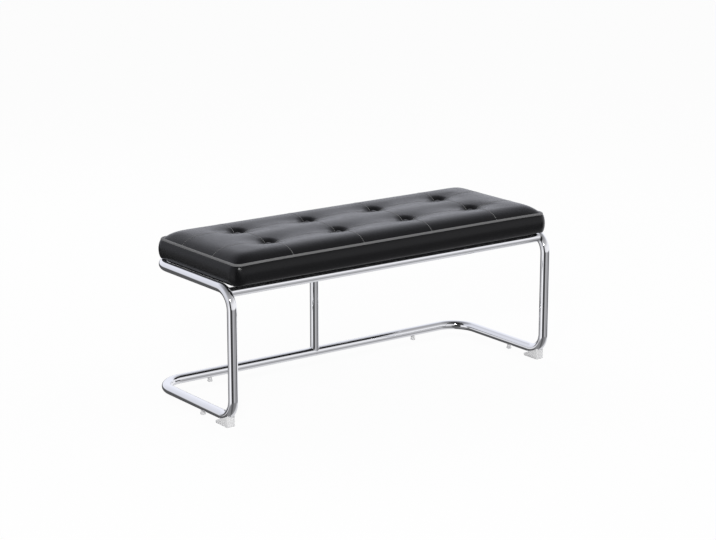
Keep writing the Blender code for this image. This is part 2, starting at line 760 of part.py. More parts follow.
def build_brackets(steel, screw_holes):
    """The angle brackets that stand against the seat rails and carry the board."""
    for label, x, y, inwards, rail_z in bracket_places():
        name = f"seat_bracket_{label}"
        drop = BRACKET_TOP_Z - rail_z + BRACKET_BELOW_RAIL
        mesh = plate_mesh(name, bracket_outline(drop), BRACKET_WIDTH)
        pointing = Matrix(((0, 0, inwards), (inwards, 0, 0), (0, 1, 0))).to_4x4()
        mesh.transform(Matrix.Translation((x, y, BRACKET_TOP_Z)) @ pointing)
        cut(place_part(name, mesh, steel), screw_holes)


def build_fasteners(steel):
    """A screw, a washer and a flanged insert nut at each bracket."""
    washer_top = BRACKET_TOP_Z - BRACKET_THICKNESS - FIT_GAP
    head_top = washer_top - WASHER_THICKNESS - FIT_GAP
    head_base = head_top - SCREW_HEAD_HEIGHT
    tip = BOARD_TOP_Z - SCREW_TIP_COVER
    screw_profile = [
        (0.0, tip),
        (SCREW_DIAMETER / 2, tip),
        (SCREW_DIAMETER / 2, head_top),
        (SCREW_HEAD_DIAMETER / 2, head_top),
        (SCREW_HEAD_DIAMETER / 2, (head_top + head_base) / 2),
        (SCREW_DIAMETER / 2, head_base),
        (0.0, head_base),
    ]
    washer_profile = [
        (SCREW_HOLE_RADIUS, washer_top),
        (WASHER_DIAMETER / 2, washer_top),
        (WASHER_DIAMETER / 2, washer_top - WASHER_THICKNESS),
        (SCREW_HOLE_RADIUS, washer_top - WASHER_THICKNESS),
    ]
    flange_top = BOARD_TOP_Z - T_NUT_RECESS
    flange_base = flange_top - T_NUT_FLANGE_THICKNESS
    barrel_base = BOARD_Z + T_NUT_SETBACK
    nut_profile = [
        (T_NUT_BORE_RADIUS, flange_top),
        (T_NUT_FLANGE_DIAMETER / 2, flange_top),
        (T_NUT_FLANGE_DIAMETER / 2, flange_base),
        (T_NUT_BARREL_RADIUS, flange_base),
        (T_NUT_BARREL_RADIUS, barrel_base),
        (T_NUT_BORE_RADIUS, barrel_base),
    ]
    for number, (x, y) in enumerate(screw_places(), start=1):
        for kind, profile, closed in (
            ("seat_screw", screw_profile, False),
            ("seat_washer", washer_profile, True),
            ("t_nut", nut_profile, True),
        ):
            name = f"{kind}_{number}"
            piece = place_part(name, profile_mesh(name, profile, closed), steel)
            piece.location = (x, y, 0.0)
            turn(piece, SMALL_STEPS)


def build_board(wood, tuft_holes):
    """The seat board, with holes for the twine and stepped holes for the insert nuts."""
    board = cushion_plate("seat_board", LAYER + BOARD_EASE, BOARD_THICKNESS, BOARD_Z, wood)
    clear = 2 * PEG_CLEARANCE
    recess_z = BOARD_TOP_Z - T_NUT_RECESS - T_NUT_FLANGE_THICKNESS - FIT_GAP
    for name, diameter, low in (
        ("t_nut_barrel_holes", 2 * T_NUT_BARREL_RADIUS + clear, BOARD_Z - BOARD_THICKNESS),
        ("t_nut_flange_recesses", T_NUT_FLANGE_DIAMETER + 2 * clear, recess_z),
    ):
        high = BOARD_TOP_Z + BOARD_THICKNESS
        cut(board, place_cutter(name, cylinders_mesh(name, diameter, low, high, screw_places())))
    cut(board, tuft_holes)


def main():
    """Builds the bench, frame first."""
    chrome = make_material("chrome_tube", (0.80, 0.81, 0.83), 0.06, metallic=1.0)
    steel = make_material("plated_steel", (0.55, 0.56, 0.58), 0.30, metallic=1.0)
    plastic = make_material("clear_plastic", (0.86, 0.87, 0.88), 0.22, transmission=0.5)
    leather = make_material("black_leatherette", (0.012, 0.012, 0.013), 0.34)
    foam = make_material("cushion_foam", (0.86, 0.80, 0.62), 0.95)
    cord = make_material("waxed_twine", (0.10, 0.09, 0.08), 0.80)
    wood = make_material("plywood", (0.55, 0.38, 0.22), 0.70)
    cloth = make_material("dust_cloth", (0.02, 0.02, 0.02), 0.95)

    clearances = tube_clearances()
    build_frame(chrome, steel, clearances)
    build_feet(plastic, clearances)

    reach = BOXING_HEIGHT + CROWN
    tuft_diameter = SHANK_DIAMETER + 2 * TUFT_CLEARANCE
    tuft_mesh = cylinders_mesh(
        "tuft_holes", tuft_diameter, BOARD_Z - BOARD_THICKNESS, HEM_Z + 2 * reach, tuft_places()
    )
    tuft_holes = place_cutter("tuft_holes", tuft_mesh)
    screw_mesh = cylinders_mesh(
        "screw_holes", 2 * SCREW_HOLE_RADIUS, BRACKET_TOP_Z - BRACKET_LEG, BOARD_TOP_Z, screw_places()
    )
    screw_holes = place_cutter("screw_holes", screw_mesh)

    build_board(wood, tuft_holes)
    build_foam(foam, tuft_holes)
    build_cover(leather, tuft_holes)
    build_buttons(leather, cord)
    dust_inset = LAYER + HEM_WIDTH - DUST_COVER_LAP
    dust_cover = cushion_plate("dust_cover", dust_inset, DUST_COVER_THICKNESS, DUST_COVER_Z, cloth)
    cut(dust_cover, screw_holes)
    build_brackets(steel, screw_holes)
    build_fasteners(steel)


clear_scene()
PARTS = make_collection(COLLECTION_NAME)
CUTTERS = make_collection(CUTTER_COLLECTION_NAME)
main()
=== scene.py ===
"""The looks of an upholstered bench: a button-tufted cushion on a cantilever frame of bent chrome tube.

Sizes are in metres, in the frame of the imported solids: +Z is up, the origin is on the floor under the
middle of the bench, and the legs stand on the front side, which is -Y.
"""

import sys

import logging
import math
from dataclasses import dataclass, field
from enum import Enum
from typing import Callable, Iterable, Optional, Sequence, Union

import bmesh
import bpy
import numpy as np
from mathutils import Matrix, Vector
from mathutils.bvhtree import BVHTree


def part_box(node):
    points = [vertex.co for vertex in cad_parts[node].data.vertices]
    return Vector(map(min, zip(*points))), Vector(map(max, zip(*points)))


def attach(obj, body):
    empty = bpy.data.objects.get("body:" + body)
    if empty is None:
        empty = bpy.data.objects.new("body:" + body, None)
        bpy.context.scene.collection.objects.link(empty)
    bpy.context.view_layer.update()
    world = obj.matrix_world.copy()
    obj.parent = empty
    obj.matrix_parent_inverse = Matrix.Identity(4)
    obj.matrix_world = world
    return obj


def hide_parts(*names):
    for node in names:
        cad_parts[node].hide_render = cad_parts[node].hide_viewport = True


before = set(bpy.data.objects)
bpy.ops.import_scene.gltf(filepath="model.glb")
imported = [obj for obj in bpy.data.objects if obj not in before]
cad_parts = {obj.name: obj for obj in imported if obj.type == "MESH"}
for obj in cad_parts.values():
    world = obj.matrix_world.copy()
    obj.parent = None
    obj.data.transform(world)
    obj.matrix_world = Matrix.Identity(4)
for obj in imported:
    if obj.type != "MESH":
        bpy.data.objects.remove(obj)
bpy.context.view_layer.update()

BODY = "root"
LOG = logging.getLogger("bench")

Node = bpy.types.Node
Socket = bpy.types.NodeSocket
Tree = bpy.types.NodeTree
Material = bpy.types.Material
Mesh = bpy.types.Mesh
Piece = bpy.types.Object
Number = Union[float, Socket]
Value = Union[float, int, Material]
Colour = tuple[float, float, float]
Place = tuple[float, float, float]
Profile = Sequence[tuple[float, float]]
Line = tuple[Sequence[Place], bool]

FLOAT, VECTOR, INTEGER = "NodeSocketFloat", "NodeSocketVector", "NodeSocketInt"
GEOMETRY, MATERIAL = "NodeSocketGeometry", "NodeSocketMaterial"
WHITE: Colour = (1.0, 1.0, 1.0)
TURNED_EDGE = math.radians(50)
MILLIMETRES = 1e3

# Sockets that share their name with another one of their node are taken by number.
MIX_FIRST, MIX_SECOND, MIX_COLOUR = 6, 7, 2
RANDOM_LEAST, RANDOM_MOST, RANDOM_FLOAT = 2, 3, 1


class Slot(Enum):
    """The record's material slots, handed along with the new pieces."""

    CHROME = "chrome_tube"
    STEEL = "plated_steel"
    PLASTIC = "clear_plastic"
    LEATHER = "black_leatherette"


class Side(Enum):
    """The two ends of the bench; the value is the sign of X."""

    LEFT = -1
    RIGHT = 1

    @property
    def label(self) -> str:
        """The side's name in piece names."""
        return self.name.lower()


class NodeSheet:
    """Adds nodes to one tree, sets their sockets and links them."""

    def __init__(self, tree: Tree) -> None:
        """Keeps the tree that the nodes go into."""
        self.tree = tree

    def add(self, kind: str, values: Optional[dict] = None, **settings: object) -> Node:
        """Adds one node.

        Args:
            kind: the node's type name.
            values: what each input gets, by its name or number: a constant, or the output that feeds it.
            settings: the node's own properties.

        Returns:
            The new node.
        """
        node = self.tree.nodes.new(kind)
        for name, value in settings.items():
            setattr(node, name, value)
        for key, value in (values or {}).items():
            if isinstance(value, Socket):
                self.tree.links.new(value, node.inputs[key])
            else:
                node.inputs[key].default_value = value
        return node

    def out(
        self, kind: str, values: Optional[dict] = None, output: Union[int, str] = 0, **settings: object
    ) -> Socket:
        """Adds one node and gives one of its outputs, by name or number."""
        return self.add(kind, values, **settings).outputs[output]

    def calc(self, operation: str, *values: Number) -> Socket:
        """Adds one step of arithmetic."""
        return self.out("ShaderNodeMath", dict(enumerate(values)), operation=operation)

    def span(
        self, value: Socket, low: float, high: float, to_low: Number = 0.0, to_high: Number = 1.0
    ) -> Socket:
        """Maps a value from one span onto another and stops at its ends."""
        return self.out("ShaderNodeMapRange", {0: value, 1: low, 2: high, 3: to_low, 4: to_high})

    def mix(
        self, part: Number, first: Union[tuple, Socket], second: Union[tuple, Socket], blend: str = "MIX"
    ) -> Socket:
        """Mixes two colours."""
        values = {0: part, MIX_FIRST: first, MIX_SECOND: second}
        return self.out("ShaderNodeMix", values, MIX_COLOUR, data_type="RGBA", blend_type=blend)

    def noise(
        self, place: Socket, scale: Number, detail: float, output: str = "Fac", **more: float
    ) -> Socket:
        """Adds a soft noise over a place."""
        values = {"Vector": place, "Scale": scale, "Detail": detail, **more}
        return self.out("ShaderNodeTexNoise", values, output)


def group_sheet(
    kind: str, name: str, inputs: Sequence[tuple], outputs: Sequence[tuple]
) -> tuple[NodeSheet, dict[str, Socket]]:
    """Starts a node group with named sockets.

    Args:
        kind: the tree's type name.
        name: the group's name.
        inputs: a name, a socket type and a default (or None) for each input.
        outputs: a name and a socket type for each output.

    Returns:
        The sheet to add nodes with, and what the group is given, by name.
    """
    tree = bpy.data.node_groups.new(name, kind)
    for label, socket_type, default in inputs:
        socket = tree.interface.new_socket(label, in_out="INPUT", socket_type=socket_type)
        if default is not None:
            socket.default_value = default
    for label, socket_type in outputs:
        tree.interface.new_socket(label, in_out="OUTPUT", socket_type=socket_type)
    sheet = NodeSheet(tree)
    given = sheet.add("NodeGroupInput")
    return sheet, {label: given.outputs[label] for label, *_ in inputs}


@dataclass
class Effects:
    """The shader node groups that more than one finish uses, each built once."""

    patch_detail: float = 5.0
    patch_roughness: float = 0.6
    patch_edges: tuple[float, float] = (0.3, 0.7)
    fine_detail: float = 2.0
    cell_bend: float = 120.0
    cell_wander: float = 0.002
    cell_randomness: float = 0.9
    dome_width: float = 0.22
    pore_scale: float = 2600.0
    thread_wander: float = 0.6
    thread_detail_scale: float = 3.0
    smudge: Tree = field(init=False)
    pebble: Tree = field(init=False)
    weave: Tree = field(init=False)

    def __post_init__(self) -> None:
        """Builds the groups."""
        self.smudge = self.build_smudge()
        self.pebble = self.build_pebble()
        self.weave = self.build_weave()

    def build_smudge(self) -> Tree:
        """Builds a soft patchy value between two levels: handling marks and uneven polish.

        Returns:
            The group.
        """
        sheet, given = group_sheet(
            "ShaderNodeTree",
            "smudge",
            [("Vector", VECTOR, None), ("Scale", FLOAT, 20.0), ("Low", FLOAT, 0.2), ("High", FLOAT, 0.4)],
            [("Value", FLOAT), ("Mask", FLOAT)],
        )
        broad = sheet.noise(
            given["Vector"], given["Scale"], self.patch_detail, Roughness=self.patch_roughness
        )
        mask = sheet.span(broad, *self.patch_edges)
        level = sheet.span(mask, 0.0, 1.0, given["Low"], given["High"])
        sheet.add("NodeGroupOutput", {"Value": level, "Mask": mask})
        return sheet.tree

    def build_pebble(self) -> Tree:
        """Builds a pebbled grain: rounded cells with fine creases between them, and pores.

        Returns:
            The group.
        """
        sheet, given = group_sheet(
            "ShaderNodeTree",
            "pebble",
            [("Vector", VECTOR, None), ("Cells", FLOAT, 800.0), ("Pores", FLOAT, 0.25)],
            [("Height", FLOAT), ("Crease", FLOAT)],
        )
        place = given["Vector"]
        bend = sheet.noise(place, self.cell_bend, self.fine_detail, "Color")
        wander = sheet.out(
            "ShaderNodeVectorMath", {0: bend, 1: (self.cell_wander,) * 3}, operation="MULTIPLY"
        )
        moved = sheet.out("ShaderNodeVectorMath", {0: place, 1: wander}, operation="ADD")
        cells = sheet.out(
            "ShaderNodeTexVoronoi",
            {"Vector": moved, "Scale": given["Cells"], "Randomness": self.cell_randomness},
            "Distance",
            feature="DISTANCE_TO_EDGE",
        )
        dome = sheet.span(cells, 0.0, self.dome_width)
        pores = sheet.noise(place, self.pore_scale, self.fine_detail)
        pitted = sheet.calc("MULTIPLY_ADD", pores, given["Pores"], dome)
        sheet.add("NodeGroupOutput", {"Height": pitted, "Crease": sheet.calc("SUBTRACT", 1.0, dome)})
        return sheet.tree

    def build_weave(self) -> Tree:
        """Builds crossing threads: the height of a plain weave, and where its gaps are.

        Returns:
            The group.
        """
        sheet, given = group_sheet(
            "ShaderNodeTree",
            "weave",
            [("Vector", VECTOR, None), ("Threads", FLOAT, 400.0)],
            [("Height", FLOAT), ("Gap", FLOAT)],
        )
        threads = {
            "Vector": given["Vector"],
            "Scale": given["Threads"],
            "Distortion": self.thread_wander,
            "Detail": self.fine_detail,
            "Detail Scale": self.thread_detail_scale,
        }
        waves = [sheet.out("ShaderNodeTexWave", threads, "Fac", bands_direction=way) for way in ("X", "Y")]
        height = sheet.calc("MAXIMUM", *waves)
        sheet.add("NodeGroupOutput", {"Height": height, "Gap": sheet.calc("SUBTRACT", 1.0, height)})
        return sheet.tree


@dataclass(frozen=True)
class Surface:
    """A material in the making: its nodes, its shader, the piece's own coordinates and the shared effects."""

    sheet: NodeSheet
    shader: Node
    place: Socket
    effects: Effects

    def set_plain(self, name: str, value: float) -> None:
        """Gives one of the shader's inputs a plain value."""
        self.shader.inputs[name].default_value = value

    def feed(self, name: str, value: Socket) -> None:
        """Feeds one of the shader's inputs."""
        self.sheet.tree.links.new(value, self.shader.inputs[name])

    def patterned(self, group: Tree, **values: float) -> Node:
        """Places a shared effect over the piece's own coordinates."""
        return self.sheet.add("ShaderNodeGroup", {"Vector": self.place, **values}, node_tree=group)

    def stretched(self, scale: Place) -> Socket:
        """Stretches the piece's own coordinates by a scale along each axis."""
        return self.sheet.out("ShaderNodeMapping", {"Vector": self.place, "Scale": scale})

    def emboss(self, height: Socket, depth: float, strength: float) -> None:
        """Bumps the shader's normal by a height, where depth is the height of 1 in metres."""
        bump = {"Strength": strength, "Distance": depth, "Height": height}
        self.feed("Normal", self.sheet.out("ShaderNodeBump", bump))


@dataclass(frozen=True)
class Finish:
    """A surface finish: its colour, and the span of roughness that its polish wanders over."""

    name: str
    colour: Colour
    other_colour: Colour
    roughness: tuple[float, float]
    patch_scale: float

    def material(self, effects: Effects) -> Material:
        """Builds the finish.

        Args:
            effects: the shared shader groups.

        Returns:
            The finished material.
        """
        material = bpy.data.materials.new(self.name)
        material.use_nodes = True
        sheet = NodeSheet(material.node_tree)
        shader = material.node_tree.nodes["Principled BSDF"]
        surface = Surface(sheet, shader, sheet.out("ShaderNodeTexCoord", output="Object"), effects)
        low, high = self.roughness
        patches = surface.patterned(effects.smudge, Scale=self.patch_scale, Low=low, High=high)
        surface.feed("Roughness", patches.outputs["Value"])
        mask = self.dress(surface) or patches.outputs["Mask"]
        surface.feed("Base Color", sheet.mix(mask, (*self.colour, 1.0), (*self.other_colour, 1.0)))
        return material

    def dress(self, surface: Surface) -> Optional[Socket]:
        """Adds what is special to the finish; gives its own mask of the two colours, if it has one."""
        return None


@dataclass(frozen=True)
class Chrome(Finish):
    """Bright chrome plate with a hint of unevenness from polishing."""

    wave_scale: float = 60.0
    wave_detail: float = 2.0
    wave_depth: float = 0.00004
    wave_strength: float = 0.4

    def dress(self, surface: Surface) -> Optional[Socket]:
        """Makes the surface metal, with faint polishing waves.

        Args:
            surface: the material in the making.

        Returns:
            None: the patches mix the colours.
        """
        surface.set_plain("Metallic", 1.0)
        waves = surface.sheet.noise(surface.place, self.wave_scale, self.wave_detail)
        surface.emboss(waves, self.wave_depth, self.wave_strength)
        return None


@dataclass(frozen=True)
class BrushedSteel(Finish):
    """Zinc-plated steel with fine drawn lines."""

    line_scale: Place = (60.0, 1800.0, 1800.0)
    line_detail: float = 3.0
    line_depth: float = 0.00005
    line_strength: float = 0.5

    def dress(self, surface: Surface) -> Optional[Socket]:
        """Makes the surface metal, with drawn lines along X.

        Args:
            surface: the material in the making.

        Returns:
            None: the patches mix the colours.
        """
        surface.set_plain("Metallic", 1.0)
        lines = surface.sheet.noise(surface.stretched(self.line_scale), 1.0, self.line_detail)
        surface.emboss(lines, self.line_depth, self.line_strength)
        return None


@dataclass(frozen=True)
class Leatherette(Finish):
    """Coated cloth with a fine pebbled grain."""

    cells: float = 800.0
    grain_depth: float = 0.00012
    grain_strength: float = 0.3
    sheen: float = 0.22

    def dress(self, surface: Surface) -> Optional[Socket]:
        """Adds the grain.

        Args:
            surface: the material in the making.

        Returns:
            The creases, which take the darker colour.
        """
        surface.set_plain("Specular IOR Level", self.sheen)
        grain = surface.patterned(surface.effects.pebble, Cells=self.cells)
        surface.emboss(grain.outputs["Height"], self.grain_depth, self.grain_strength)
        return grain.outputs["Crease"]


@dataclass(frozen=True)
class ClearPlastic(Finish):
    """Cloudy moulded plastic that lets light through."""

    transmission: float = 0.12
    bending: float = 1.46
    skin_scale: float = 500.0
    skin_detail: float = 3.0
    skin_depth: float = 0.00003
    skin_strength: float = 0.2

    def dress(self, surface: Surface) -> Optional[Socket]:
        """Adds light through the body and a moulded skin.

        Args:
            surface: the material in the making.

        Returns:
            None: the patches mix the colours.
        """
        surface.set_plain("Transmission Weight", self.transmission)
        surface.set_plain("IOR", self.bending)
        skin = surface.sheet.noise(surface.place, self.skin_scale, self.skin_detail)
        surface.emboss(skin, self.skin_depth, self.skin_strength)
        return None


@dataclass(frozen=True)
class Woven(Finish):
    """Cloth or twisted yarn: crossing threads with dark gaps."""

    threads: float = 400.0
    depth: float = 0.0003
    strength: float = 0.6
    sheen: float = 0.25

    def dress(self, surface: Surface) -> Optional[Socket]:
        """Adds the threads.

        Args:
            surface: the material in the making.

        Returns:
            The gaps between the threads, which take the darker colour.
        """
        surface.set_plain("Specular IOR Level", self.sheen)
        weave = surface.patterned(surface.effects.weave, Threads=self.threads)
        surface.emboss(weave.outputs["Height"], self.depth, self.strength)
        return weave.outputs["Gap"]


@dataclass(frozen=True)
class Plywood(Finish):
    """Sawn plywood with its grain along the board."""

    streak_scale: Place = (6.0, 90.0, 90.0)
    streak_detail: float = 6.0
    streak_bend: float = 0.8
    streak_depth: float = 0.0004
    streak_strength: float = 0.5

    def dress(self, surface: Surface) -> Optional[Socket]:
        """Adds the grain's long streaks.

        Args:
            surface: the material in the making.

        Returns:
            The streaks, which take the paler colour.
        """
        place = surface.stretched(self.streak_scale)
        streaks = surface.sheet.noise(place, 1.0, self.streak_detail, Distortion=self.streak_bend)
        surface.emboss(streaks, self.streak_depth, self.streak_strength)
        return streaks


class Finishes:
    """Every finish of the bench, ready as a material."""

    def __init__(self) -> None:
        """Builds the shared effects, and each material from its colours, roughness and patch scale."""
        effects = Effects()
        self.chrome = Chrome(
            "chrome", (0.90, 0.905, 0.92), (0.93, 0.935, 0.945), (0.025, 0.05), 14.0
        ).material(effects)
        self.steel = BrushedSteel(
            "zinc_plate", (0.50, 0.51, 0.52), (0.62, 0.62, 0.61), (0.25, 0.42), 60.0
        ).material(effects)
        self.leather = Leatherette(
            "black_leatherette", (0.0065, 0.0065, 0.0072), (0.0035, 0.0035, 0.004), (0.17, 0.25), 16.0
        ).material(effects)
        self.piping = Leatherette(
            "grey_piping", (0.18, 0.18, 0.182), (0.12, 0.12, 0.122), (0.35, 0.5), 30.0, cells=1200.0
        ).material(effects)
        self.thread = Woven(
            "grey_thread",
            (0.22, 0.22, 0.222),
            (0.16, 0.16, 0.162),
            (0.6, 0.75),
            200.0,
            threads=900.0,
            depth=0.0001,
        ).material(effects)
        self.plastic = ClearPlastic(
            "cloudy_plastic", (0.92, 0.92, 0.925), (0.96, 0.96, 0.965), (0.25, 0.40), 120.0
        ).material(effects)
        self.twine = Woven(
            "waxed_twine", (0.10, 0.09, 0.08), (0.04, 0.036, 0.03), (0.6, 0.8), 200.0
        ).material(effects)
        self.dust_cloth = Woven(
            "dust_cloth", (0.030, 0.030, 0.031), (0.008, 0.008, 0.008), (0.85, 0.95), 30.0, threads=260.0
        ).material(effects)
        self.plywood = Plywood(
            "plywood", (0.50, 0.34, 0.19), (0.62, 0.45, 0.27), (0.6, 0.75), 20.0
        ).material(effects)


@dataclass
class Growth:
    """The geometry node trees that sweep tubes and lay stitches and staples along paths."""

    stitch_segments: int = 8
    stitch_rings: int = 6
    tube: Tree = field(init=False)
    stitches: Tree = field(init=False)
    staples: Tree = field(init=False)

    def __post_init__(self) -> None:
        """Builds the trees."""
        self.tube = self.build_tube()
        self.stitches = self.build_stitches()
        self.staples = self.build_staples()

    @staticmethod
    def close(sheet: NodeSheet, geometry: Socket, material: Socket) -> Tree:
        """Ends a tree: smooth shading, real meshes and the material.

        Args:
            sheet: where nodes are added.
            geometry: what the tree has made.
            material: the material that it gets.

        Returns:
            The finished tree.
        """
        smooth = sheet.out("GeometryNodeSetShadeSmooth", {"Geometry": geometry})
        real = sheet.out("GeometryNodeRealizeInstances", {"Geometry": smooth})
        painted = sheet.out("GeometryNodeSetMaterial", {"Geometry": real, "Material": material})
        sheet.add("NodeGroupOutput", {0: painted})
        return sheet.tree

    def build_tube(self) -> Tree:
        """Builds the tree that sweeps a round bar along every line of a path.

        Returns:
            The tree.
        """
        sheet, given = group_sheet(
            "GeometryNodeTree",
            "swept_tube",
            [
                ("Path", GEOMETRY, None),
                ("Radius", FLOAT, 0.01),
                ("Sides", INTEGER, 32),
                ("Material", MATERIAL, None),
            ],
            [("Geometry", GEOMETRY)],
        )
        line = sheet.out("GeometryNodeMeshToCurve", {"Mesh": given["Path"]})
        ring = sheet.out(
            "GeometryNodeCurvePrimitiveCircle", {"Resolution": given["Sides"], "Radius": given["Radius"]}
        )
        bar = sheet.out("GeometryNodeCurveToMesh", {"Curve": line, "Profile Curve": ring, "Fill Caps": True})
        return self.close(sheet, bar, given["Material"])

    def laid_along(
        self, name: str, sizes: Sequence[tuple], shape: Callable[[NodeSheet, dict[str, Socket]], Socket]
    ) -> Tree:
        """Builds a tree that lays a small shape at even steps along every line of a path.

        Args:
            name: the tree's name.
            sizes: the shape's own inputs.
            shape: adds the nodes of the shape, which lies along X, and returns its geometry.

        Returns:
            The tree.
        """
        sheet, given = group_sheet(
            "GeometryNodeTree",
            name,
            [
                ("Path", GEOMETRY, None),
                ("Pitch", FLOAT, 0.006),
                ("Turn", FLOAT, 0.0),
                ("Seed", INTEGER, 1),
                *sizes,
                ("Material", MATERIAL, None),
            ],
            [("Geometry", GEOMETRY)],
        )
        line = sheet.out("GeometryNodeMeshToCurve", {"Mesh": given["Path"]})
        even = sheet.out(
            "GeometryNodeResampleCurve", {"Curve": line, "Length": given["Pitch"]}, mode="LENGTH"
        )
        along = sheet.out("GeometryNodeInputTangent")
        faced = sheet.out("FunctionNodeAlignRotationToVector", {"Vector": along}, axis="X", pivot_axis="AUTO")
        least = sheet.calc("MULTIPLY", given["Turn"], -1.0)
        swing = {RANDOM_LEAST: least, RANDOM_MOST: given["Turn"], "Seed": given["Seed"]}
        stray = sheet.out("FunctionNodeRandomValue", swing, RANDOM_FLOAT, data_type="FLOAT")
        spin = sheet.out("FunctionNodeAxisAngleToRotation", {"Axis": (0.0, 0.0, 1.0), "Angle": stray})
        turned = sheet.out(
            "FunctionNodeRotateRotation", {"Rotation": faced, "Rotate By": spin}, rotation_space="LOCAL"
        )
        laid = sheet.out(
            "GeometryNodeInstanceOnPoints",
            {"Points": even, "Instance": shape(sheet, given), "Rotation": turned},
        )
        return self.close(sheet, laid, given["Material"])

    def build_stitches(self) -> Tree:
        """Builds the tree that lays stitches: short plump lengths of thread.

        Returns:
            The tree.
        """

        def stitch(sheet: NodeSheet, given: dict[str, Socket]) -> Socket:
            """Adds a ball drawn out along X.

            Args:
                sheet: where nodes are added.
                given: the tree's inputs.

            Returns:
                The stitch.
            """
            ball = sheet.out(
                "GeometryNodeMeshUVSphere",
                {"Segments": self.stitch_segments, "Rings": self.stitch_rings, "Radius": 1.0},
            )
            half = sheet.calc("MULTIPLY", given["Length"], 0.5)
            size = sheet.out("ShaderNodeCombineXYZ", {"X": half, "Y": given["Radius"], "Z": given["Height"]})
            return sheet.out("GeometryNodeTransform", {"Geometry": ball, "Scale": size})

        sizes = [("Length", FLOAT, 0.005), ("Radius", FLOAT, 0.0007), ("Height", FLOAT, 0.0004)]
        return self.laid_along("stitch_row", sizes, stitch)

    def build_staples(self) -> Tree:
        """Builds the tree that lays staples: a flat crown of wire with two legs going in.

        Returns:
            The tree.
        """

        def bar(sheet: NodeSheet, x: Socket, y: Socket, z: Socket) -> Socket:
            """Adds a straight bar of a size."""
            size = sheet.out("ShaderNodeCombineXYZ", {"X": x, "Y": y, "Z": z})
            return sheet.out("GeometryNodeMeshCube", {"Size": size})

        def staple(sheet: NodeSheet, given: dict[str, Socket]) -> Socket:
            """Adds a bent wire whose crown lies along X.

            Args:
                sheet: where nodes are added.
                given: the tree's inputs.

            Returns:
                The staple.
            """
            width, leg, wire = given["Width"], given["Leg"], given["Wire"]
            half = sheet.calc("MULTIPLY", width, 0.5)
            lift = sheet.calc("MULTIPLY", leg, 0.5)
            parts = [bar(sheet, width, wire, wire)]
            for sign in (-1.0, 1.0):
                reach = sheet.calc("MULTIPLY", half, sign)
                place = sheet.out("ShaderNodeCombineXYZ", {"X": reach, "Z": lift})
                upright = bar(sheet, wire, wire, leg)
                parts.append(sheet.out("GeometryNodeTransform", {"Geometry": upright, "Translation": place}))
            joined = sheet.add("GeometryNodeJoinGeometry")
            for part in parts:
                sheet.tree.links.new(part, joined.inputs[0])
            return joined.outputs[0]

        sizes = [("Width", FLOAT, 0.010), ("Leg", FLOAT, 0.002), ("Wire", FLOAT, 0.0008)]
        return self.laid_along("staple_row", sizes, staple)

    @staticmethod
    def grow(name: str, lines: Iterable[Line], tree: Tree, **values: Value) -> Piece:
        """Runs a tree on a path and keeps the result as a plain mesh.

        Args:
            name: the new piece's name.
            lines: the path's lines, each with whether it is closed.
            tree: the geometry node tree.
            values: the tree's inputs by name, in small letters.

        Returns:
            The new piece.
        """
        verts: list[Place] = []
        edges: list[tuple[int, int]] = []
        for points, closed in lines:
            first = len(verts)
            verts.extend(tuple(point) for point in points)
            edges.extend((first + i, first + i + 1) for i in range(len(points) - 1))
            if closed:
                edges.append((len(verts) - 1, first))
        path = bpy.data.meshes.new(f"{name}_path")
        path.from_pydata(verts, edges, [])
        guide = link(bpy.data.objects.new(f"{name}_path", path))
        modifier = guide.modifiers.new("grown", "NODES")
        modifier.node_group = tree
        for socket in tree.interface.items_tree:
            if socket.in_out == "INPUT" and socket.name.lower() in values:
                modifier[socket.identifier] = values[socket.name.lower()]
        mesh = evaluated_mesh(guide, name)
        bpy.data.objects.remove(guide)
        return link(bpy.data.objects.new(name, mesh))


def link(obj: Piece) -> Piece:
    """Puts an object in the scene."""
    bpy.context.scene.collection.objects.link(obj)
    return obj


def evaluated_mesh(obj: Piece, name: str) -> Mesh:
    """Makes a plain mesh of an object with its modifiers applied.

    Args:
        obj: the object.
        name: the new mesh's name.

    Returns:
        The mesh.
    """
    graph = bpy.context.evaluated_depsgraph_get()
    mesh = bpy.data.meshes.new_from_object(obj.evaluated_get(graph))
    mesh.name = name
    return mesh


def corners_of(mesh: Mesh) -> np.ndarray:
    """Reads where a mesh's corners are.

    Args:
        mesh: the mesh.

    Returns:
        A row of X, Y and Z for each corner.
    """
    places = np.empty(len(mesh.vertices) * 3)
    mesh.vertices.foreach_get("co", places)
    return places.reshape(-1, 3)


def mesh_piece(
    name: str, verts: Sequence[Place], faces: Sequence[Sequence[int]], material: Material
) -> Piece:
    """Makes a smooth-shaded piece from its corners and faces.

    Args:
        name: the piece's name.
        verts: where its corners are.
        faces: the numbers of each face's corners.
        material: its material.

    Returns:
        The piece.
    """
    mesh = bpy.data.meshes.new(name)
    mesh.from_pydata([tuple(vert) for vert in verts], [], faces)
    mesh.materials.append(material)
    mesh.shade_smooth()
    return link(bpy.data.objects.new(name, mesh))


def close_up(mesh: Mesh, sharp: Optional[float] = None) -> None:
    """Fills a mesh's open borders, turns its faces outwards and shades it smooth.

    Args:
        mesh: the mesh, which is changed.
        sharp: the angle past which an edge is shaded sharp, or None for no sharp edge.
    """
    bm = bmesh.new()
    bm.from_mesh(mesh)
    bmesh.ops.holes_fill(bm, edges=[edge for edge in bm.edges if edge.is_boundary], sides=0)
    bmesh.ops.recalc_face_normals(bm, faces=bm.faces)
    bm.to_mesh(mesh)
    bm.free()
    mesh.shade_smooth()
    if sharp is not None:
        mesh.set_sharp_from_angle(angle=sharp)


def full_turn(steps: int) -> list[float]:
    """The angles of even steps round a full turn."""
    return [math.tau * step / steps for step in range(steps)]


def ease(part: np.ndarray) -> np.ndarray:
    """A soft step from 0 to 1."""
    return part**2 * (3 - 2 * part)


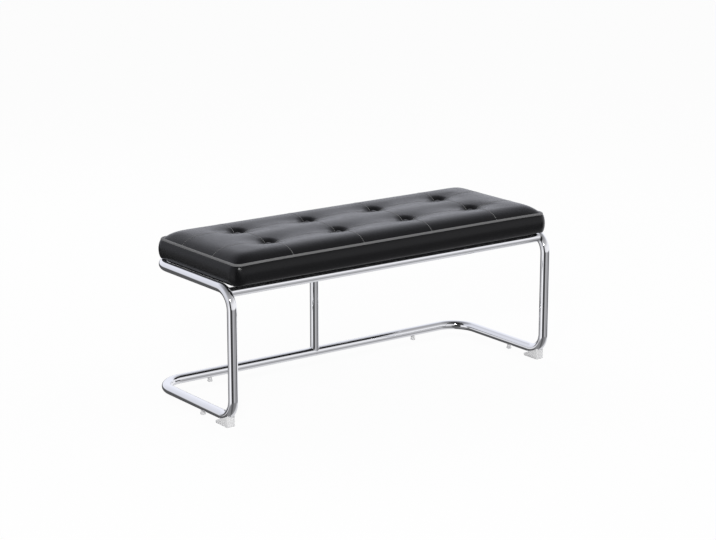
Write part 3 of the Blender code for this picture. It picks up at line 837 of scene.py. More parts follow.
def lathe(
    name: str,
    profile: Sequence[tuple],
    centre: tuple[float, float],
    material: Material,
    steps: int = 40,
    closed: bool = False,
) -> Piece:
    """Turns a profile about an upright axis.

    Args:
        name: the piece's name.
        profile: a radius and a height for each ring, from the top outwards and down; a radius may be
            a function of the angle, and 0 is a pole.
        centre: the axis's place in plan.
        material: the piece's material.
        steps: how many steps make the turn.
        closed: whether the last ring joins the first.

    Returns:
        The turned piece.
    """
    verts: list[Place] = []
    rings: list[list[int]] = []
    for radius, height in profile:
        first = len(verts)
        if not callable(radius) and radius == 0:
            verts.append((*centre, height))
            rings.append([first] * steps)
            continue
        for angle in full_turn(steps):
            reach = radius(angle) if callable(radius) else radius
            verts.append((centre[0] + reach * math.cos(angle), centre[1] + reach * math.sin(angle), height))
        rings.append(list(range(first, len(verts))))
    pairs = list(zip(rings, rings[1:]))
    if closed:
        pairs.append((rings[-1], rings[0]))
    faces = []
    for upper, lower in pairs:
        for step in range(steps):
            after = (step + 1) % steps
            corners = (upper[step], lower[step], lower[after], upper[after])
            faces.append(list(dict.fromkeys(corners)))
    piece = mesh_piece(name, verts, faces, material)
    close_up(piece.data, TURNED_EDGE)
    return piece


def hand_over(piece: Piece, slot: Optional[Slot], *nodes: str) -> Piece:
    """Rides a finished piece on the bench's one body.

    Args:
        piece: the finished piece.
        slot: the record's slot for it, if any; not used.
        nodes: the solids that it stands for.

    Returns:
        The piece.
    """
    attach(piece, BODY)
    if nodes:
        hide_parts(*nodes)
    LOG.info("piece %s: %d faces, for %s", piece.name, len(piece.data.polygons), ", ".join(nodes) or "itself")
    return piece


@dataclass
class TubeFrame:
    """The bent chrome loop, its two cross tubes and the welds that join them."""

    leg_spacing: float = 1.000
    front_y: float = -0.180
    back_y: float = 0.188
    floor_rail_z: float = 0.024
    seat_rail_z: float = 0.349
    tube_radius: float = 0.0125
    leg_bend: float = 0.050
    corner_bend: float = 0.071
    joint_gap: float = 0.0003
    rail_radius: float = 0.012
    rail_angle: float = math.radians(33.5)
    strut_radius: float = 0.012
    weld_radius: float = 0.0011
    bend_steps: int = 22
    sides: int = 40
    weld_steps: int = 48
    weld_sides: int = 12

    def half_path(self, side: Side) -> list[Vector]:
        """Draws the centre line of one half of the loop.

        Args:
            side: which half.

        Returns:
            Its points, from behind the seat round to behind the floor rail.
        """
        x, end_x = side.value * self.leg_spacing / 2, side.value * self.joint_gap / 2
        places = (
            (end_x, self.back_y, self.seat_rail_z),
            (x, self.back_y, self.seat_rail_z),
            (x, self.front_y, self.seat_rail_z),
            (x, self.front_y, self.floor_rail_z),
            (x, self.back_y, self.floor_rail_z),
            (end_x, self.back_y, self.floor_rail_z),
        )
        corners = [Vector(place) for place in places]
        radii = (self.corner_bend, self.leg_bend, self.leg_bend, self.corner_bend)
        points = [corners[0]]
        for before, corner, after, radius in zip(corners, corners[1:], corners[2:], radii):
            incoming, outgoing = (before - corner).normalized(), (after - corner).normalized()
            middle = corner + (incoming + outgoing) * radius
            for step in range(self.bend_steps + 1):
                angle = math.pi / 2 * step / self.bend_steps
                off_start = outgoing * radius * math.cos(angle)
                points.append(middle - off_start - incoming * radius * math.sin(angle))
        points.append(corners[-1])
        return points

    def rail_place(self) -> tuple[float, float]:
        """Finds where the front rail's axis lies, on the centre line of the upper front bends.

        Returns:
            Its Y and Z.
        """
        y = self.front_y + self.leg_bend * (1 - math.sin(self.rail_angle))
        z = self.seat_rail_z - self.leg_bend * (1 - math.cos(self.rail_angle))
        return y, z

    def rail_weld(self, side: Side) -> list[Place]:
        """Draws the line on which the front rail meets a front bend.

        Args:
            side: which end of the rail.

        Returns:
            The line's points.
        """
        rail_y, rail_z = self.rail_place()
        hub_y, hub_z = self.front_y + self.leg_bend, self.seat_rail_z - self.leg_bend
        line = []
        for angle in full_turn(self.weld_steps):
            y, z = rail_y + self.rail_radius * math.cos(angle), rail_z + self.rail_radius * math.sin(angle)
            off_centre = math.hypot(y - hub_y, z - hub_z) - self.leg_bend
            inwards = math.sqrt(self.tube_radius**2 - off_centre**2)
            line.append((side.value * (self.leg_spacing / 2 - inwards), y, z))
        return line

    def strut_weld(self, rail_z: float, towards: float) -> list[Place]:
        """Draws the line on which the strut meets a back rail.

        Args:
            rail_z: the height of the rail's axis.
            towards: the sign of the strut's side of the rail.

        Returns:
            The line's points.
        """
        line = []
        for angle in full_turn(self.weld_steps):
            x, y = self.strut_radius * math.cos(angle), self.strut_radius * math.sin(angle)
            rise = math.sqrt(self.tube_radius**2 - y**2)
            line.append((x, self.back_y + y, rail_z + towards * rise))
        return line

    def build(self, growth: Growth, finishes: Finishes) -> None:
        """Sweeps the tubes and the weld beads.

        Args:
            growth: the trees that sweep them.
            finishes: the bench's materials.
        """
        rail_ends = [(sign * self.leg_spacing / 2, *self.rail_place()) for sign in (-1, 1)]
        strut_ends = [(0.0, self.back_y, z) for z in (self.floor_rail_z, self.seat_rail_z)]
        tubes = [
            (f"{side.label}_tube", self.half_path(side), self.tube_radius, f"{side.label}_frame_tube")
            for side in Side
        ]
        tubes.append(("front_rail", rail_ends, self.rail_radius, "front_seat_rail"))
        tubes.append(("back_strut", strut_ends, self.strut_radius, "rear_strut"))
        chrome = {"material": finishes.chrome}
        for name, path, radius, node in tubes:
            tube = growth.grow(name, [(path, False)], growth.tube, radius=radius, sides=self.sides, **chrome)
            hand_over(tube, Slot.CHROME, node)
        beads = [(self.rail_weld(side), True) for side in Side]
        for rail_z, towards in ((self.floor_rail_z, 1.0), (self.seat_rail_z, -1.0)):
            beads.append((self.strut_weld(rail_z, towards), True))
        welds = growth.grow(
            "weld_beads", beads, growth.tube, radius=self.weld_radius, sides=self.weld_sides, **chrome
        )
        hand_over(welds, Slot.CHROME)


@dataclass
class Feet:
    """The moulded wedge feet under the front bends and the round glides under the floor rails."""

    leg_spacing: float = 1.000
    toe_y: float = -0.168
    heel_y: float = -0.114
    toe_z: float = 0.030
    heel_z: float = 0.007
    width: float = 0.024
    edge: float = 0.0022
    edge_segments: int = 4
    sharp_edge: float = math.radians(35)
    side_glide_y: float = -0.038
    rear_glide: tuple[float, float] = (0.337, 0.188)
    glide_profile: Profile = (
        (0.0, 0.0150),
        (0.0055, 0.0150),
        (0.0055, 0.0062),
        (0.0058, 0.0052),
        (0.0070, 0.0032),
        (0.0070, 0.0015),
        (0.0066, 0.0006),
        (0.0056, 0.0),
        (0.0, 0.0),
    )

    def wedge(self, side: Side, material: Material) -> Piece:
        """Makes one wedge foot with rounded moulded edges.

        Args:
            side: which end of the bench it stands at.
            material: its material.

        Returns:
            The foot.
        """
        toe, heel = self.toe_y, self.heel_y
        outline = [(toe, 0.0), (heel, 0.0), (heel, self.heel_z), (toe, self.toe_z)]
        x = side.value * self.leg_spacing / 2
        verts = [(x + sign * self.width / 2, y, z) for sign in (-1, 1) for y, z in outline]
        count = len(outline)
        faces = [list(range(count))[::-1], [count + i for i in range(count)]]
        faces += [[i, (i + 1) % count, count + (i + 1) % count, count + i] for i in range(count)]
        name = f"{side.label}_foot"
        block = mesh_piece(f"{name}_block", verts, faces, material)
        round_off = block.modifiers.new("moulded_edges", "BEVEL")
        round_off.width = self.edge
        round_off.segments = self.edge_segments
        mesh = evaluated_mesh(block, name)
        bpy.data.objects.remove(block)
        close_up(mesh, self.sharp_edge)
        return link(bpy.data.objects.new(name, mesh))

    def build(self, finishes: Finishes) -> None:
        """Makes the feet and the glides.

        Args:
            finishes: the bench's materials.
        """
        for side in Side:
            hand_over(self.wedge(side, finishes.plastic), Slot.PLASTIC, f"front_foot_{side.label}")
            for row, centre in (
                ("side", (side.value * self.leg_spacing / 2, self.side_glide_y)),
                ("rear", (side.value * self.rear_glide[0], self.rear_glide[1])),
            ):
                glide = lathe(f"{side.label}_{row}_glide", self.glide_profile, centre, finishes.plastic)
                hand_over(glide, Slot.PLASTIC, f"{row}_glide_{side.label}")


@dataclass
class Cushion:
    """The stuffed cushion: a sewn cover, drawn down at buttons and swollen by its foam."""

    half_x: float = 0.491
    half_y: float = 0.184
    centre_y: float = -0.006
    corner_radius: float = 0.022
    corner_blend: float = 0.012
    seam_z: float = 0.4105
    hem_z: float = 0.3618
    front_lift: float = 0.0023
    lift_power: float = 8.0
    bulge: float = 0.0085
    corner_bulge: float = 0.80
    bulge_power: float = 0.6
    tuck: float = 0.001
    crown: float = 0.025
    roll_width: float = 0.046
    roll_power: float = 2.2
    pitch_x: float = 0.2155
    pitch_y: float = 0.141
    columns: int = 4
    rows: int = 2
    tuft_depth: float = 0.0130
    tuft_seat: float = 0.0105
    tuft_radius: float = 0.034
    tuft_power: float = 1.6
    hollow_depth: float = 0.005
    hollow_radius: float = 0.058
    hollow_stretch: float = 1.5
    valley_depth: float = 0.0036
    valley_end: float = 0.100
    cell: float = 0.0052
    seam_pair: float = 0.0024
    wall_levels: Sequence[float] = (0.95, 0.88, 0.78, 0.67, 0.56, 0.45, 0.34, 0.24, 0.15, 0.08, 0.03, 0.0)
    hem_steps: Profile = ((0.0012, 1.0), (0.004, 1.0), (0.0065, 0.4), (0.0085, 0.0), (0.020, 0.0))
    lip_drop: float = 0.0028
    lip_back: tuple[float, float] = (0.121, 0.151)
    firm_level: float = 0.05
    swell_room: float = 0.0020
    slack: float = 0.001
    pressure: float = 1.5
    cloth: Sequence[tuple[str, float]] = (
        ("quality", 6),
        ("mass", 0.3),
        ("tension_stiffness", 20.0),
        ("compression_stiffness", 20.0),
        ("shear_stiffness", 8.0),
        ("bending_stiffness", 5.0),
    )
    frames: int = 20
    furthest: float = 0.006
    unmoved: float = 1e-9
    groove_depth: float = 0.0001
    groove_width: float = 0.0022
    piping_radius: float = 0.0043
    piping_out: float = -0.0030
    piping_up: float = -0.0004
    piping_sides: int = 14
    stitch_pitch: float = 0.0055
    stitch_length: float = 0.0046
    stitch_radius: float = 0.0009
    stitch_height: float = 0.0004
    stitch_sink: float = 0.0002
    stitch_turn: float = 0.06
    stitch_seed: int = 3
    path_step: float = 0.0025
    above: float = 1.0
    button_radius: float = 0.012
    button_height: float = 0.0100
    button_edge: float = 0.0015
    button_lift: float = 0.0003
    button_sink: float = 0.0006
    button_rings: int = 10
    button_steps: int = 56
    pleats: int = 14
    pleat_depth: float = 0.0003
    tufts_x: list[float] = field(init=False)
    tufts_y: list[float] = field(init=False)

    def __post_init__(self) -> None:
        """Places the buttons' columns and rows about the cushion's middle."""
        self.tufts_x = [self.pitch_x * (i - (self.columns - 1) / 2) for i in range(self.columns)]
        self.tufts_y = [self.pitch_y * (i - (self.rows - 1) / 2) for i in range(self.rows)]

    def grid_lines(self, half: float, tufts: Sequence[float]) -> np.ndarray:
        """Sets out lines about a cell apart, with a close pair along each sewn line.

        Args:
            half: how far they go to either side.
            tufts: where the sewn lines are.

        Returns:
            The lines' places, from -half to half.
        """
        beside = (-self.seam_pair, 0, self.seam_pair)
        fixed = sorted([-half, half] + [tuft + offset for tuft in tufts for offset in beside])
        lines = [fixed[0]]
        for low, high in zip(fixed, fixed[1:]):
            cells = max(1, round((high - low) / self.cell))
            lines.extend(low + (high - low) * (i + 1) / cells for i in range(cells))
        return np.array(lines)

    def past_straight(self, x: np.ndarray, y: np.ndarray) -> tuple[np.ndarray, np.ndarray]:
        """How far points of the plan lie past the seam's straight stretches, across and along."""
        radius = self.corner_radius
        return np.abs(x) - (self.half_x - radius), np.abs(y) - (self.half_y - radius)

    def into_outline(self, x: np.ndarray, y: np.ndarray) -> tuple[np.ndarray, np.ndarray]:
        """Draws points of the seam's rectangle in, so that the rectangle's corners become round.

        Args:
            x: the points' X.
            y: the points' Y.

        Returns:
            Their new X and Y.
        """
        radius = self.corner_radius
        across, along = (past / radius for past in self.past_straight(x, y))
        corner = (across > 0) & (along > 0)
        across, along = np.clip(across, 0, 1), np.clip(along, 0, 1)
        round_x = self.half_x - radius + radius * across * np.sqrt(1 - along**2 / 2)
        round_y = self.half_y - radius + radius * along * np.sqrt(1 - across**2 / 2)
        return np.where(corner, np.copysign(round_x, x), x), np.where(corner, np.copysign(round_y, y), y)

    def outwards(self, x: np.ndarray, y: np.ndarray) -> np.ndarray:
        """Finds the way out of the seam's outline.

        Args:
            x: the X of points on the outline.
            y: their Y.

        Returns:
            A row of X and Y for each point, of length 1.
        """
        across, along = self.past_straight(x, y)
        corner = (across > 0) & (along > 0)
        way_x = np.where(corner, across, (across > along) * 1.0)
        way_y = np.where(corner, along, (across <= along) * 1.0)
        way = np.stack([np.copysign(way_x, x), np.copysign(way_y, y)], axis=1)
        return way / np.linalg.norm(way, axis=1, keepdims=True)

    def depth_inside(self, x: np.ndarray, y: np.ndarray) -> np.ndarray:
        """Measures how far points of the plan lie inside the seam.

        Args:
            x: the points' X.
            y: the points' Y.

        Returns:
            Their distances from the seam.
        """
        across, along = self.past_straight(x, y)
        outside = np.hypot(np.maximum(across, 0), np.maximum(along, 0))
        return self.corner_radius - outside - np.minimum(np.maximum(across, along), 0)

    def roll_depth(self, x: np.ndarray, y: np.ndarray) -> np.ndarray:
        """Measures how far points lie inside the seam, eased where two rolled edges meet at a corner.

        Args:
            x: the points' X.
            y: the points' Y.

        Returns:
            Their eased distances from the seam.
        """
        blend = self.corner_blend
        both = np.exp((np.abs(x) - self.half_x) / blend) + np.exp((np.abs(y) - self.half_y) / blend)
        return np.minimum(self.depth_inside(x, y), -blend * np.log(both))

    def seam_height(self, x: np.ndarray, y: np.ndarray) -> np.ndarray:
        """Height of the seam's level, which the stuffing lifts along the middle of the front edge."""
        middle = 1 - np.minimum(np.abs(x) / self.half_x, 1) ** self.lift_power
        return self.seam_z + self.front_lift * middle * (self.half_y - y) / (2 * self.half_y)

    def tuft_reach(self, x: np.ndarray, y: np.ndarray, stretch: float = 1.0) -> np.ndarray:
        """How far points of the plan lie from the nearest button, less so along the rows if stretched."""
        tufts = [(tx, ty) for tx in self.tufts_x for ty in self.tufts_y]
        return np.min([np.hypot((x - tx) / stretch, y - ty) for tx, ty in tufts], axis=0)

    def line_reach(self, x: np.ndarray, y: np.ndarray) -> np.ndarray:
        """How far points of the plan lie from the nearest sewn line."""
        across = [np.abs(x - tx) for tx in self.tufts_x]
        return np.min(across + [np.abs(y - ty) for ty in self.tufts_y], axis=0)

    def valley(self, x: np.ndarray, y: np.ndarray) -> np.ndarray:
        """Measures the soft valleys along the rows of buttons, which fade out past the last button.

        Args:
            x: the points' X.
            y: the points' Y.

        Returns:
            The valleys' depths there.
        """
        across = np.min([np.abs(y - ty) for ty in self.tufts_y], axis=0) / self.pitch_y
        past = np.clip((np.abs(x) - self.tufts_x[-1]) / self.valley_end, 0, 1)
        depth = self.valley_depth * (1 - ease(past))
        return depth * (0.5 + 0.5 * np.cos(math.tau * np.minimum(across, 0.5)))

    def held(self, reach: np.ndarray, radius: float) -> np.ndarray:
        """How much of a button's pull is left at a distance: all of it at its seat, none at the radius."""
        part_way = np.clip((reach - self.tuft_seat) / (radius - self.tuft_seat), 0, 1)
        return (1 - part_way) ** self.tuft_power

    def top_height(self, x: np.ndarray, y: np.ndarray, room: float) -> np.ndarray:
        """Shapes the stuffed top: a crown with a rolled edge, drawn down at the buttons.

        Args:
            x: the points' X.
            y: the points' Y.
            room: how much lower the crown is left, for the stuffing to swell it.

        Returns:
            The top's heights there.
        """
        edge = np.clip(self.roll_depth(x, y) / self.roll_width, 0, 1)
        swell = 1 - (1 - edge) ** self.roll_power
        held = self.held(self.tuft_reach(x, y), self.tuft_radius)
        hollow = self.held(self.tuft_reach(x, y, self.hollow_stretch), self.hollow_radius)
        drawn = self.valley(x, y) * swell**2 + self.tuft_depth * held + self.hollow_depth * hollow
        return self.seam_height(x, y) + (self.crown - room * (1 - held)) * swell - drawn

    def wall_shift(self, level: float, way: np.ndarray) -> np.ndarray:
        """Measures how far the side wall stands outside the seam.

        Args:
            level: the level on the wall, from 0 (hem) to 1 (seam).
            way: the ways out of the seam's outline.

        Returns:
            The distances, as a column.
        """
        corner = 2 * np.abs(way[:, :1] * way[:, 1:])
        bulge = self.bulge * (1 - corner * (1 - self.corner_bulge))
        return bulge * math.sin(math.pi * level) ** self.bulge_power + self.tuck * (1 - level)

    def lip(self, rim: np.ndarray, way: np.ndarray) -> np.ndarray:
        """Measures how far the wall's foot hangs down inside the side rails, up to their rear bends.

        Args:
            rim: the seam's corners.
            way: the ways out of the seam's outline.

        Returns:
            The drop under each corner.
        """
        near, far = self.lip_back
        past = np.clip((rim[:, 1] - near) / (far - near), 0, 1)
        return self.lip_drop * np.abs(way[:, 0]) * (1 - ease(past))

    def cover(self) -> tuple[np.ndarray, list[tuple], np.ndarray, np.ndarray]:
        """Cuts the open cover, before it is stuffed.

        Returns:
            The corners, the faces, the border's corners in order and how firmly each corner is held.
        """
        lines_x = self.grid_lines(self.half_x, self.tufts_x)
        lines_y = self.grid_lines(self.half_y, self.tufts_y)
        count_x, count_y = len(lines_x), len(lines_y)
        x, y = (grid.ravel() for grid in np.meshgrid(lines_x, lines_y, indexing="ij"))
        x, y = self.into_outline(x, y)
        top = np.stack([x, y, self.top_height(x, y, self.swell_room)], axis=1)
        number = np.arange(count_x * count_y).reshape(count_x, count_y)
        faces = [
            (number[i, j], number[i + 1, j], number[i + 1, j + 1], number[i, j + 1])
            for i in range(count_x - 1)
            for j in range(count_y - 1)
        ]
        border = np.concatenate([number[:-1, 0], number[-1, :-1], number[:0:-1, -1], number[0, :0:-1]])
        held = (self.tuft_reach(x, y) < self.tuft_seat).astype(float)
        held[border] = 1.0
        rim = top[border]
        way = self.outwards(rim[:, 0], rim[:, 1])
        seam = self.seam_height(rim[:, 0], rim[:, 1])
        top[border, 2] = seam
        rings, firm = [], []
        lip = self.lip(rim, way)
        for level in self.wall_levels:
            plan = rim[:, :2] + way * self.wall_shift(level, way)
            rings.append(np.column_stack([plan, self.hem_z - lip + level * (seam - self.hem_z + lip)]))
            firm.append(1.0 if level < self.firm_level else 0.0)
        for inwards, part in self.hem_steps:
            plan = rim[:, :2] + way * (self.tuck - inwards)
            rings.append(np.column_stack([plan, self.hem_z - part * lip]))
            firm.append(1.0)
        upper = border
        for ring in range(len(rings)):
            lower = len(top) + ring * len(border) + np.arange(len(border))
            faces += list(zip(upper, lower, np.roll(lower, -1), np.roll(upper, -1)))
            upper = lower
        held = np.concatenate([held, np.repeat(firm, len(border))])
        return np.concatenate([top, *rings]), faces, border, held

    def stuff(self, cover: Piece, held: np.ndarray) -> None:
        """Swells the cover by a cloth simulation, holding the buttons, the seam and the hem.

        Args:
            cover: the open cover, whose mesh takes the simulated shape.
            held: how firmly each corner is held.
        """
        start = corners_of(cover.data)
        group = cover.vertex_groups.new(name="held")
        group.add([int(i) for i in np.flatnonzero(held > 0)], 1.0, "REPLACE")
        cloth = cover.modifiers.new("stuffing", "CLOTH")
        settings = cloth.settings
        for name, value in self.cloth:
            setattr(settings, name, value)
        settings.vertex_group_mass = group.name
        settings.shrink_min = self.slack
        settings.use_pressure = True
        settings.uniform_pressure_force = self.pressure
        settings.effector_weights.gravity = 0.0
        cloth.collision_settings.use_collision = False
        cloth.point_cache.frame_start = 1
        cloth.point_cache.frame_end = self.frames
        scene = bpy.context.scene
        for number in range(1, self.frames + 1):
            scene.frame_set(number)
        swollen = evaluated_mesh(cover, "swollen")
        moved = corners_of(swollen) - start
        bpy.data.meshes.remove(swollen)
        cover.modifiers.remove(cloth)
        cover.vertex_groups.clear()
        scene.frame_set(1)
        reach = np.linalg.norm(moved, axis=1, keepdims=True)
        moved *= np.minimum(1.0, self.furthest / np.maximum(reach, self.unmoved))
        cover.data.vertices.foreach_set("co", (start + moved).ravel())
        cover.data.update()
        LOG.info(
            "cushion swelled by up to %.1f mm, %.1f mm on average",
            MILLIMETRES * reach.max(),
            MILLIMETRES * reach.mean(),
        )

    def finish_cover(self, cover: Piece) -> Piece:
        """Smooths the stuffed cover, presses in the sewn lines and closes it underneath.

        Args:
            cover: the stuffed cover, which is removed.

        Returns:
            The closed cushion.
        """
        finer = cover.modifiers.new("finer", "SUBSURF")
        finer.levels = finer.render_levels = 1
        mesh = evaluated_mesh(cover, "seat_cushion")
        bpy.data.objects.remove(cover)
        places = corners_of(mesh)
        x, y, z = places.T
        inside = np.clip(self.depth_inside(x, y) / self.groove_width, 0, 1)
        press = self.groove_depth * np.exp(-((self.line_reach(x, y) / self.groove_width) ** 2)) * inside
        places[:, 2] -= np.where(z > self.seam_z, press, 0)
        places[:, 1] += self.centre_y
        mesh.vertices.foreach_set("co", places.ravel())
        close_up(mesh)
        return link(bpy.data.objects.new("seat_cushion", mesh))

    def sewn_lines(self, skin: BVHTree) -> list[Line]:
        """Draws the lines of stitches over the top, from seam to seam, broken off at each button.

        Args:
            skin: the cushion's surface.

        Returns:
            The lines.
        """
        lines: list[Line] = []
        gap = self.button_radius - self.stitch_length / 2
        rise = self.stitch_height - self.stitch_sink
        for stops, others, half, place in (
            (self.tufts_y, self.tufts_x, self.half_y, lambda along, across: (across, along)),
            (self.tufts_x, self.tufts_y, self.half_x, lambda along, across: (along, across)),
        ):
            ends = [-half + self.piping_radius] + [stop + sign * gap for stop in stops for sign in (-1, 1)]
            ends.append(half - self.piping_radius)
            for across in others:
                for start, end in zip(ends[::2], ends[1::2]):
                    count = max(2, round((end - start) / self.path_step))
                    points = []
                    for along in np.linspace(start, end, count):
                        x, y = place(along, across)
                        hit = skin.ray_cast(Vector((x, y + self.centre_y, self.above)), Vector((0, 0, -1)))
                        points.append(tuple(hit[0] + hit[1] * rise))
                    lines.append((points, False))
        return lines

    def pleated(self, radius: float) -> Callable[[float], float]:
        """A ring whose radius dips at each pleat."""
        return lambda angle: radius - self.pleat_depth * (0.5 + 0.5 * math.cos(self.pleats * angle))

    def button(self, number: int, x: float, y: float, material: Material) -> Piece:
        """Makes one covered button, with the pleats of its cover round its edge.

        Args:
            number: which button.
            x: its X.
            y: its Y, from the cushion's middle.
            material: its material.

        Returns:
            The button.
        """
        top = self.top_height(np.array([x]), np.array([y]), 0.0)
        back = float(top[0]) + self.button_lift
        edge_z, rise = back + self.button_edge, self.button_height - self.button_edge
        last = self.button_rings - 1
        ups = [math.radians(90 * (1 - i / last)) for i in range(self.button_rings)]
        dome = [(self.button_radius * math.cos(up), edge_z + rise * math.sin(up)) for up in ups]
        under = back - self.button_sink
        profile = [
            (0.0, edge_z + rise),
            *dome[1:-2],
            *((self.pleated(radius), height) for radius, height in dome[-2:]),
            (self.pleated(self.button_radius - self.button_edge), under),
            (0.0, under),
        ]
        return lathe(f"button_{number}", profile, (x, y + self.centre_y), material, steps=self.button_steps)

    def build(self, growth: Growth, finishes: Finishes) -> None:
        """Sews, stuffs and trims the cushion.

        Args:
            growth: the trees that lay the piping and the stitches.
            finishes: the bench's materials.
        """
        verts, faces, border, held = self.cover()
        cover = mesh_piece("cover", verts, faces, finishes.leather)
        self.stuff(cover, held)
        rim = verts[border]
        cushion = self.finish_cover(cover)
        hand_over(cushion, Slot.LEATHER, "cover_top_panel", "cover_boxing", "foam_pad")
        skin = BVHTree.FromObject(cushion, bpy.context.evaluated_depsgraph_get())
        way = self.outwards(rim[:, 0], rim[:, 1])
        plan = rim[:, :2] + way * self.piping_out + np.array([0.0, self.centre_y])
        ring = np.column_stack([plan, rim[:, 2] + self.piping_up])
        piping = growth.grow(
            "seam_piping",
            [(ring, True)],
            growth.tube,
            radius=self.piping_radius,
            sides=self.piping_sides,
            material=finishes.piping,
        )
        hand_over(piping, None)
        stitches = growth.grow(
            "top_stitches",
            self.sewn_lines(skin),
            growth.stitches,
            pitch=self.stitch_pitch,
            length=self.stitch_length,
            radius=self.stitch_radius,
            height=self.stitch_height,
            turn=self.stitch_turn,
            seed=self.stitch_seed,
            material=finishes.thread,
        )
        hand_over(stitches, None)
        tufts = [(x, y) for y in self.tufts_y for x in self.tufts_x]
        for number, (x, y) in enumerate(tufts, 1):
            hand_over(self.button(number, x, y, finishes.leather), Slot.LEATHER, f"tuft_button_{number}")


@dataclass
class Underside:
    """What shows from below: the dust cloth's staples and the screws and washers of the brackets."""

    half_x: float = 0.4805
    half_y: float = 0.1735
    centre_y: float = -0.006
    corner_radius: float = 0.0135
    corner_steps: int = 8
    cloth_z: float = 0.3607
    staple_inset: float = 0.006
    staple_pitch: float = 0.046
    staple_wire: float = 0.0008
    staple_turn: float = 0.12
    staple_seed: int = 7
    screws: int = 4
    bracket_underside: float = 0.3579
    washer_radius: float = 0.007
    washer_thickness: float = 0.0012
    hole_radius: float = 0.0035
    head_radius: float = 0.006
    head_height: float = 0.0035
    head_rounding: Profile = ((1.0, 0.0), (1.0, 0.4), (0.93, 0.7), (0.75, 0.92), (0.55, 1.0))
    shank_radius: float = 0.003
    shank_top: float = 0.3728
    socket_flats: float = 0.0017
    socket_depth: float = 0.002
    screw_steps: int = 48
    fit: float = 0.0003

    def staple_path(self) -> list[Place]:
        """Draws the rounded rectangle that the staples follow, just inside the cloth's edge.

        Returns:
            The path's points.
        """
        half_x, half_y = self.half_x - self.staple_inset, self.half_y - self.staple_inset
        radius = self.corner_radius
        path = []
        for quarter, (side_x, side_y) in enumerate(((1, 1), (-1, 1), (-1, -1), (1, -1))):
            for step in range(self.corner_steps + 1):
                angle = math.pi / 2 * (quarter + step / self.corner_steps)
                x = side_x * (half_x - radius) + radius * math.cos(angle)
                y = side_y * (half_y - radius) + radius * math.sin(angle) + self.centre_y
                path.append((x, y, self.cloth_z - self.staple_wire / 2))
        return path

    def socket(self, angle: float) -> float:
        """The radius of a six-sided socket at an angle."""
        sixth = math.pi / 3
        return self.socket_flats / math.cos((angle % sixth) - sixth / 2)

    def build(self, growth: Growth, finishes: Finishes) -> None:
        """Makes the staples, the screws and the washers.

        Args:
            growth: the trees that lay the staples.
            finishes: the bench's materials.
        """
        staples = growth.grow(
            "cloth_staples",
            [(self.staple_path(), True)],
            growth.staples,
            pitch=self.staple_pitch,
            wire=self.staple_wire,
            turn=self.staple_turn,
            seed=self.staple_seed,
            material=finishes.steel,
        )
        hand_over(staples, Slot.STEEL)
        washer_top = self.bracket_underside - self.fit
        washer_base = washer_top - self.washer_thickness
        head_top = washer_base - self.fit
        socket_top = head_top - self.head_height + self.socket_depth
        ring = [
            (self.hole_radius, washer_top),
            (self.washer_radius, washer_top),
            (self.washer_radius, washer_base),
            (self.hole_radius, washer_base),
        ]
        head = [
            (0.0, self.shank_top),
            (self.shank_radius, self.shank_top),
            (self.shank_radius, head_top),
            *(
                (part * self.head_radius, head_top - down * self.head_height)
                for part, down in self.head_rounding
            ),
            (self.socket, head_top - self.head_height),
            (self.socket, socket_top),
            (0.0, socket_top),
        ]
        for number in range(1, self.screws + 1):
            low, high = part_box(f"seat_screw_{number}")
            centre = ((low.x + high.x) / 2, (low.y + high.y) / 2)
            washer = lathe(f"washer_{number}", ring, centre, finishes.steel, closed=True)
            hand_over(washer, Slot.STEEL, f"seat_washer_{number}")
            screw = lathe(f"screw_{number}", head, centre, finishes.steel, steps=self.screw_steps)
            hand_over(screw, Slot.STEEL, f"seat_screw_{number}")


class KeptSolids:
    """The solids that stay as they are, each with its finish."""

    def __init__(self, finishes: Finishes) -> None:
        """Lists the start of each kept solid's name with its material.

        Args:
            finishes: the bench's materials.
        """
        self.materials = {
            "seat_rail_sleeve": finishes.steel,
            "floor_rail_sleeve": finishes.steel,
            "seat_bracket": finishes.steel,
            "t_nut": finishes.steel,
            "seat_board": finishes.plywood,
            "tuft_twine": finishes.twine,
            "dust_cover": finishes.dust_cloth,
        }

    def dress(self) -> None:
        """Gives each shown solid its material."""
        for name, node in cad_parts.items():
            if node.hide_render:
                continue
            material = next(m for start, m in self.materials.items() if name.startswith(start))
            node.data.materials.clear()
            node.data.materials.append(material)
            LOG.info("solid %s: %s", name, material.name)


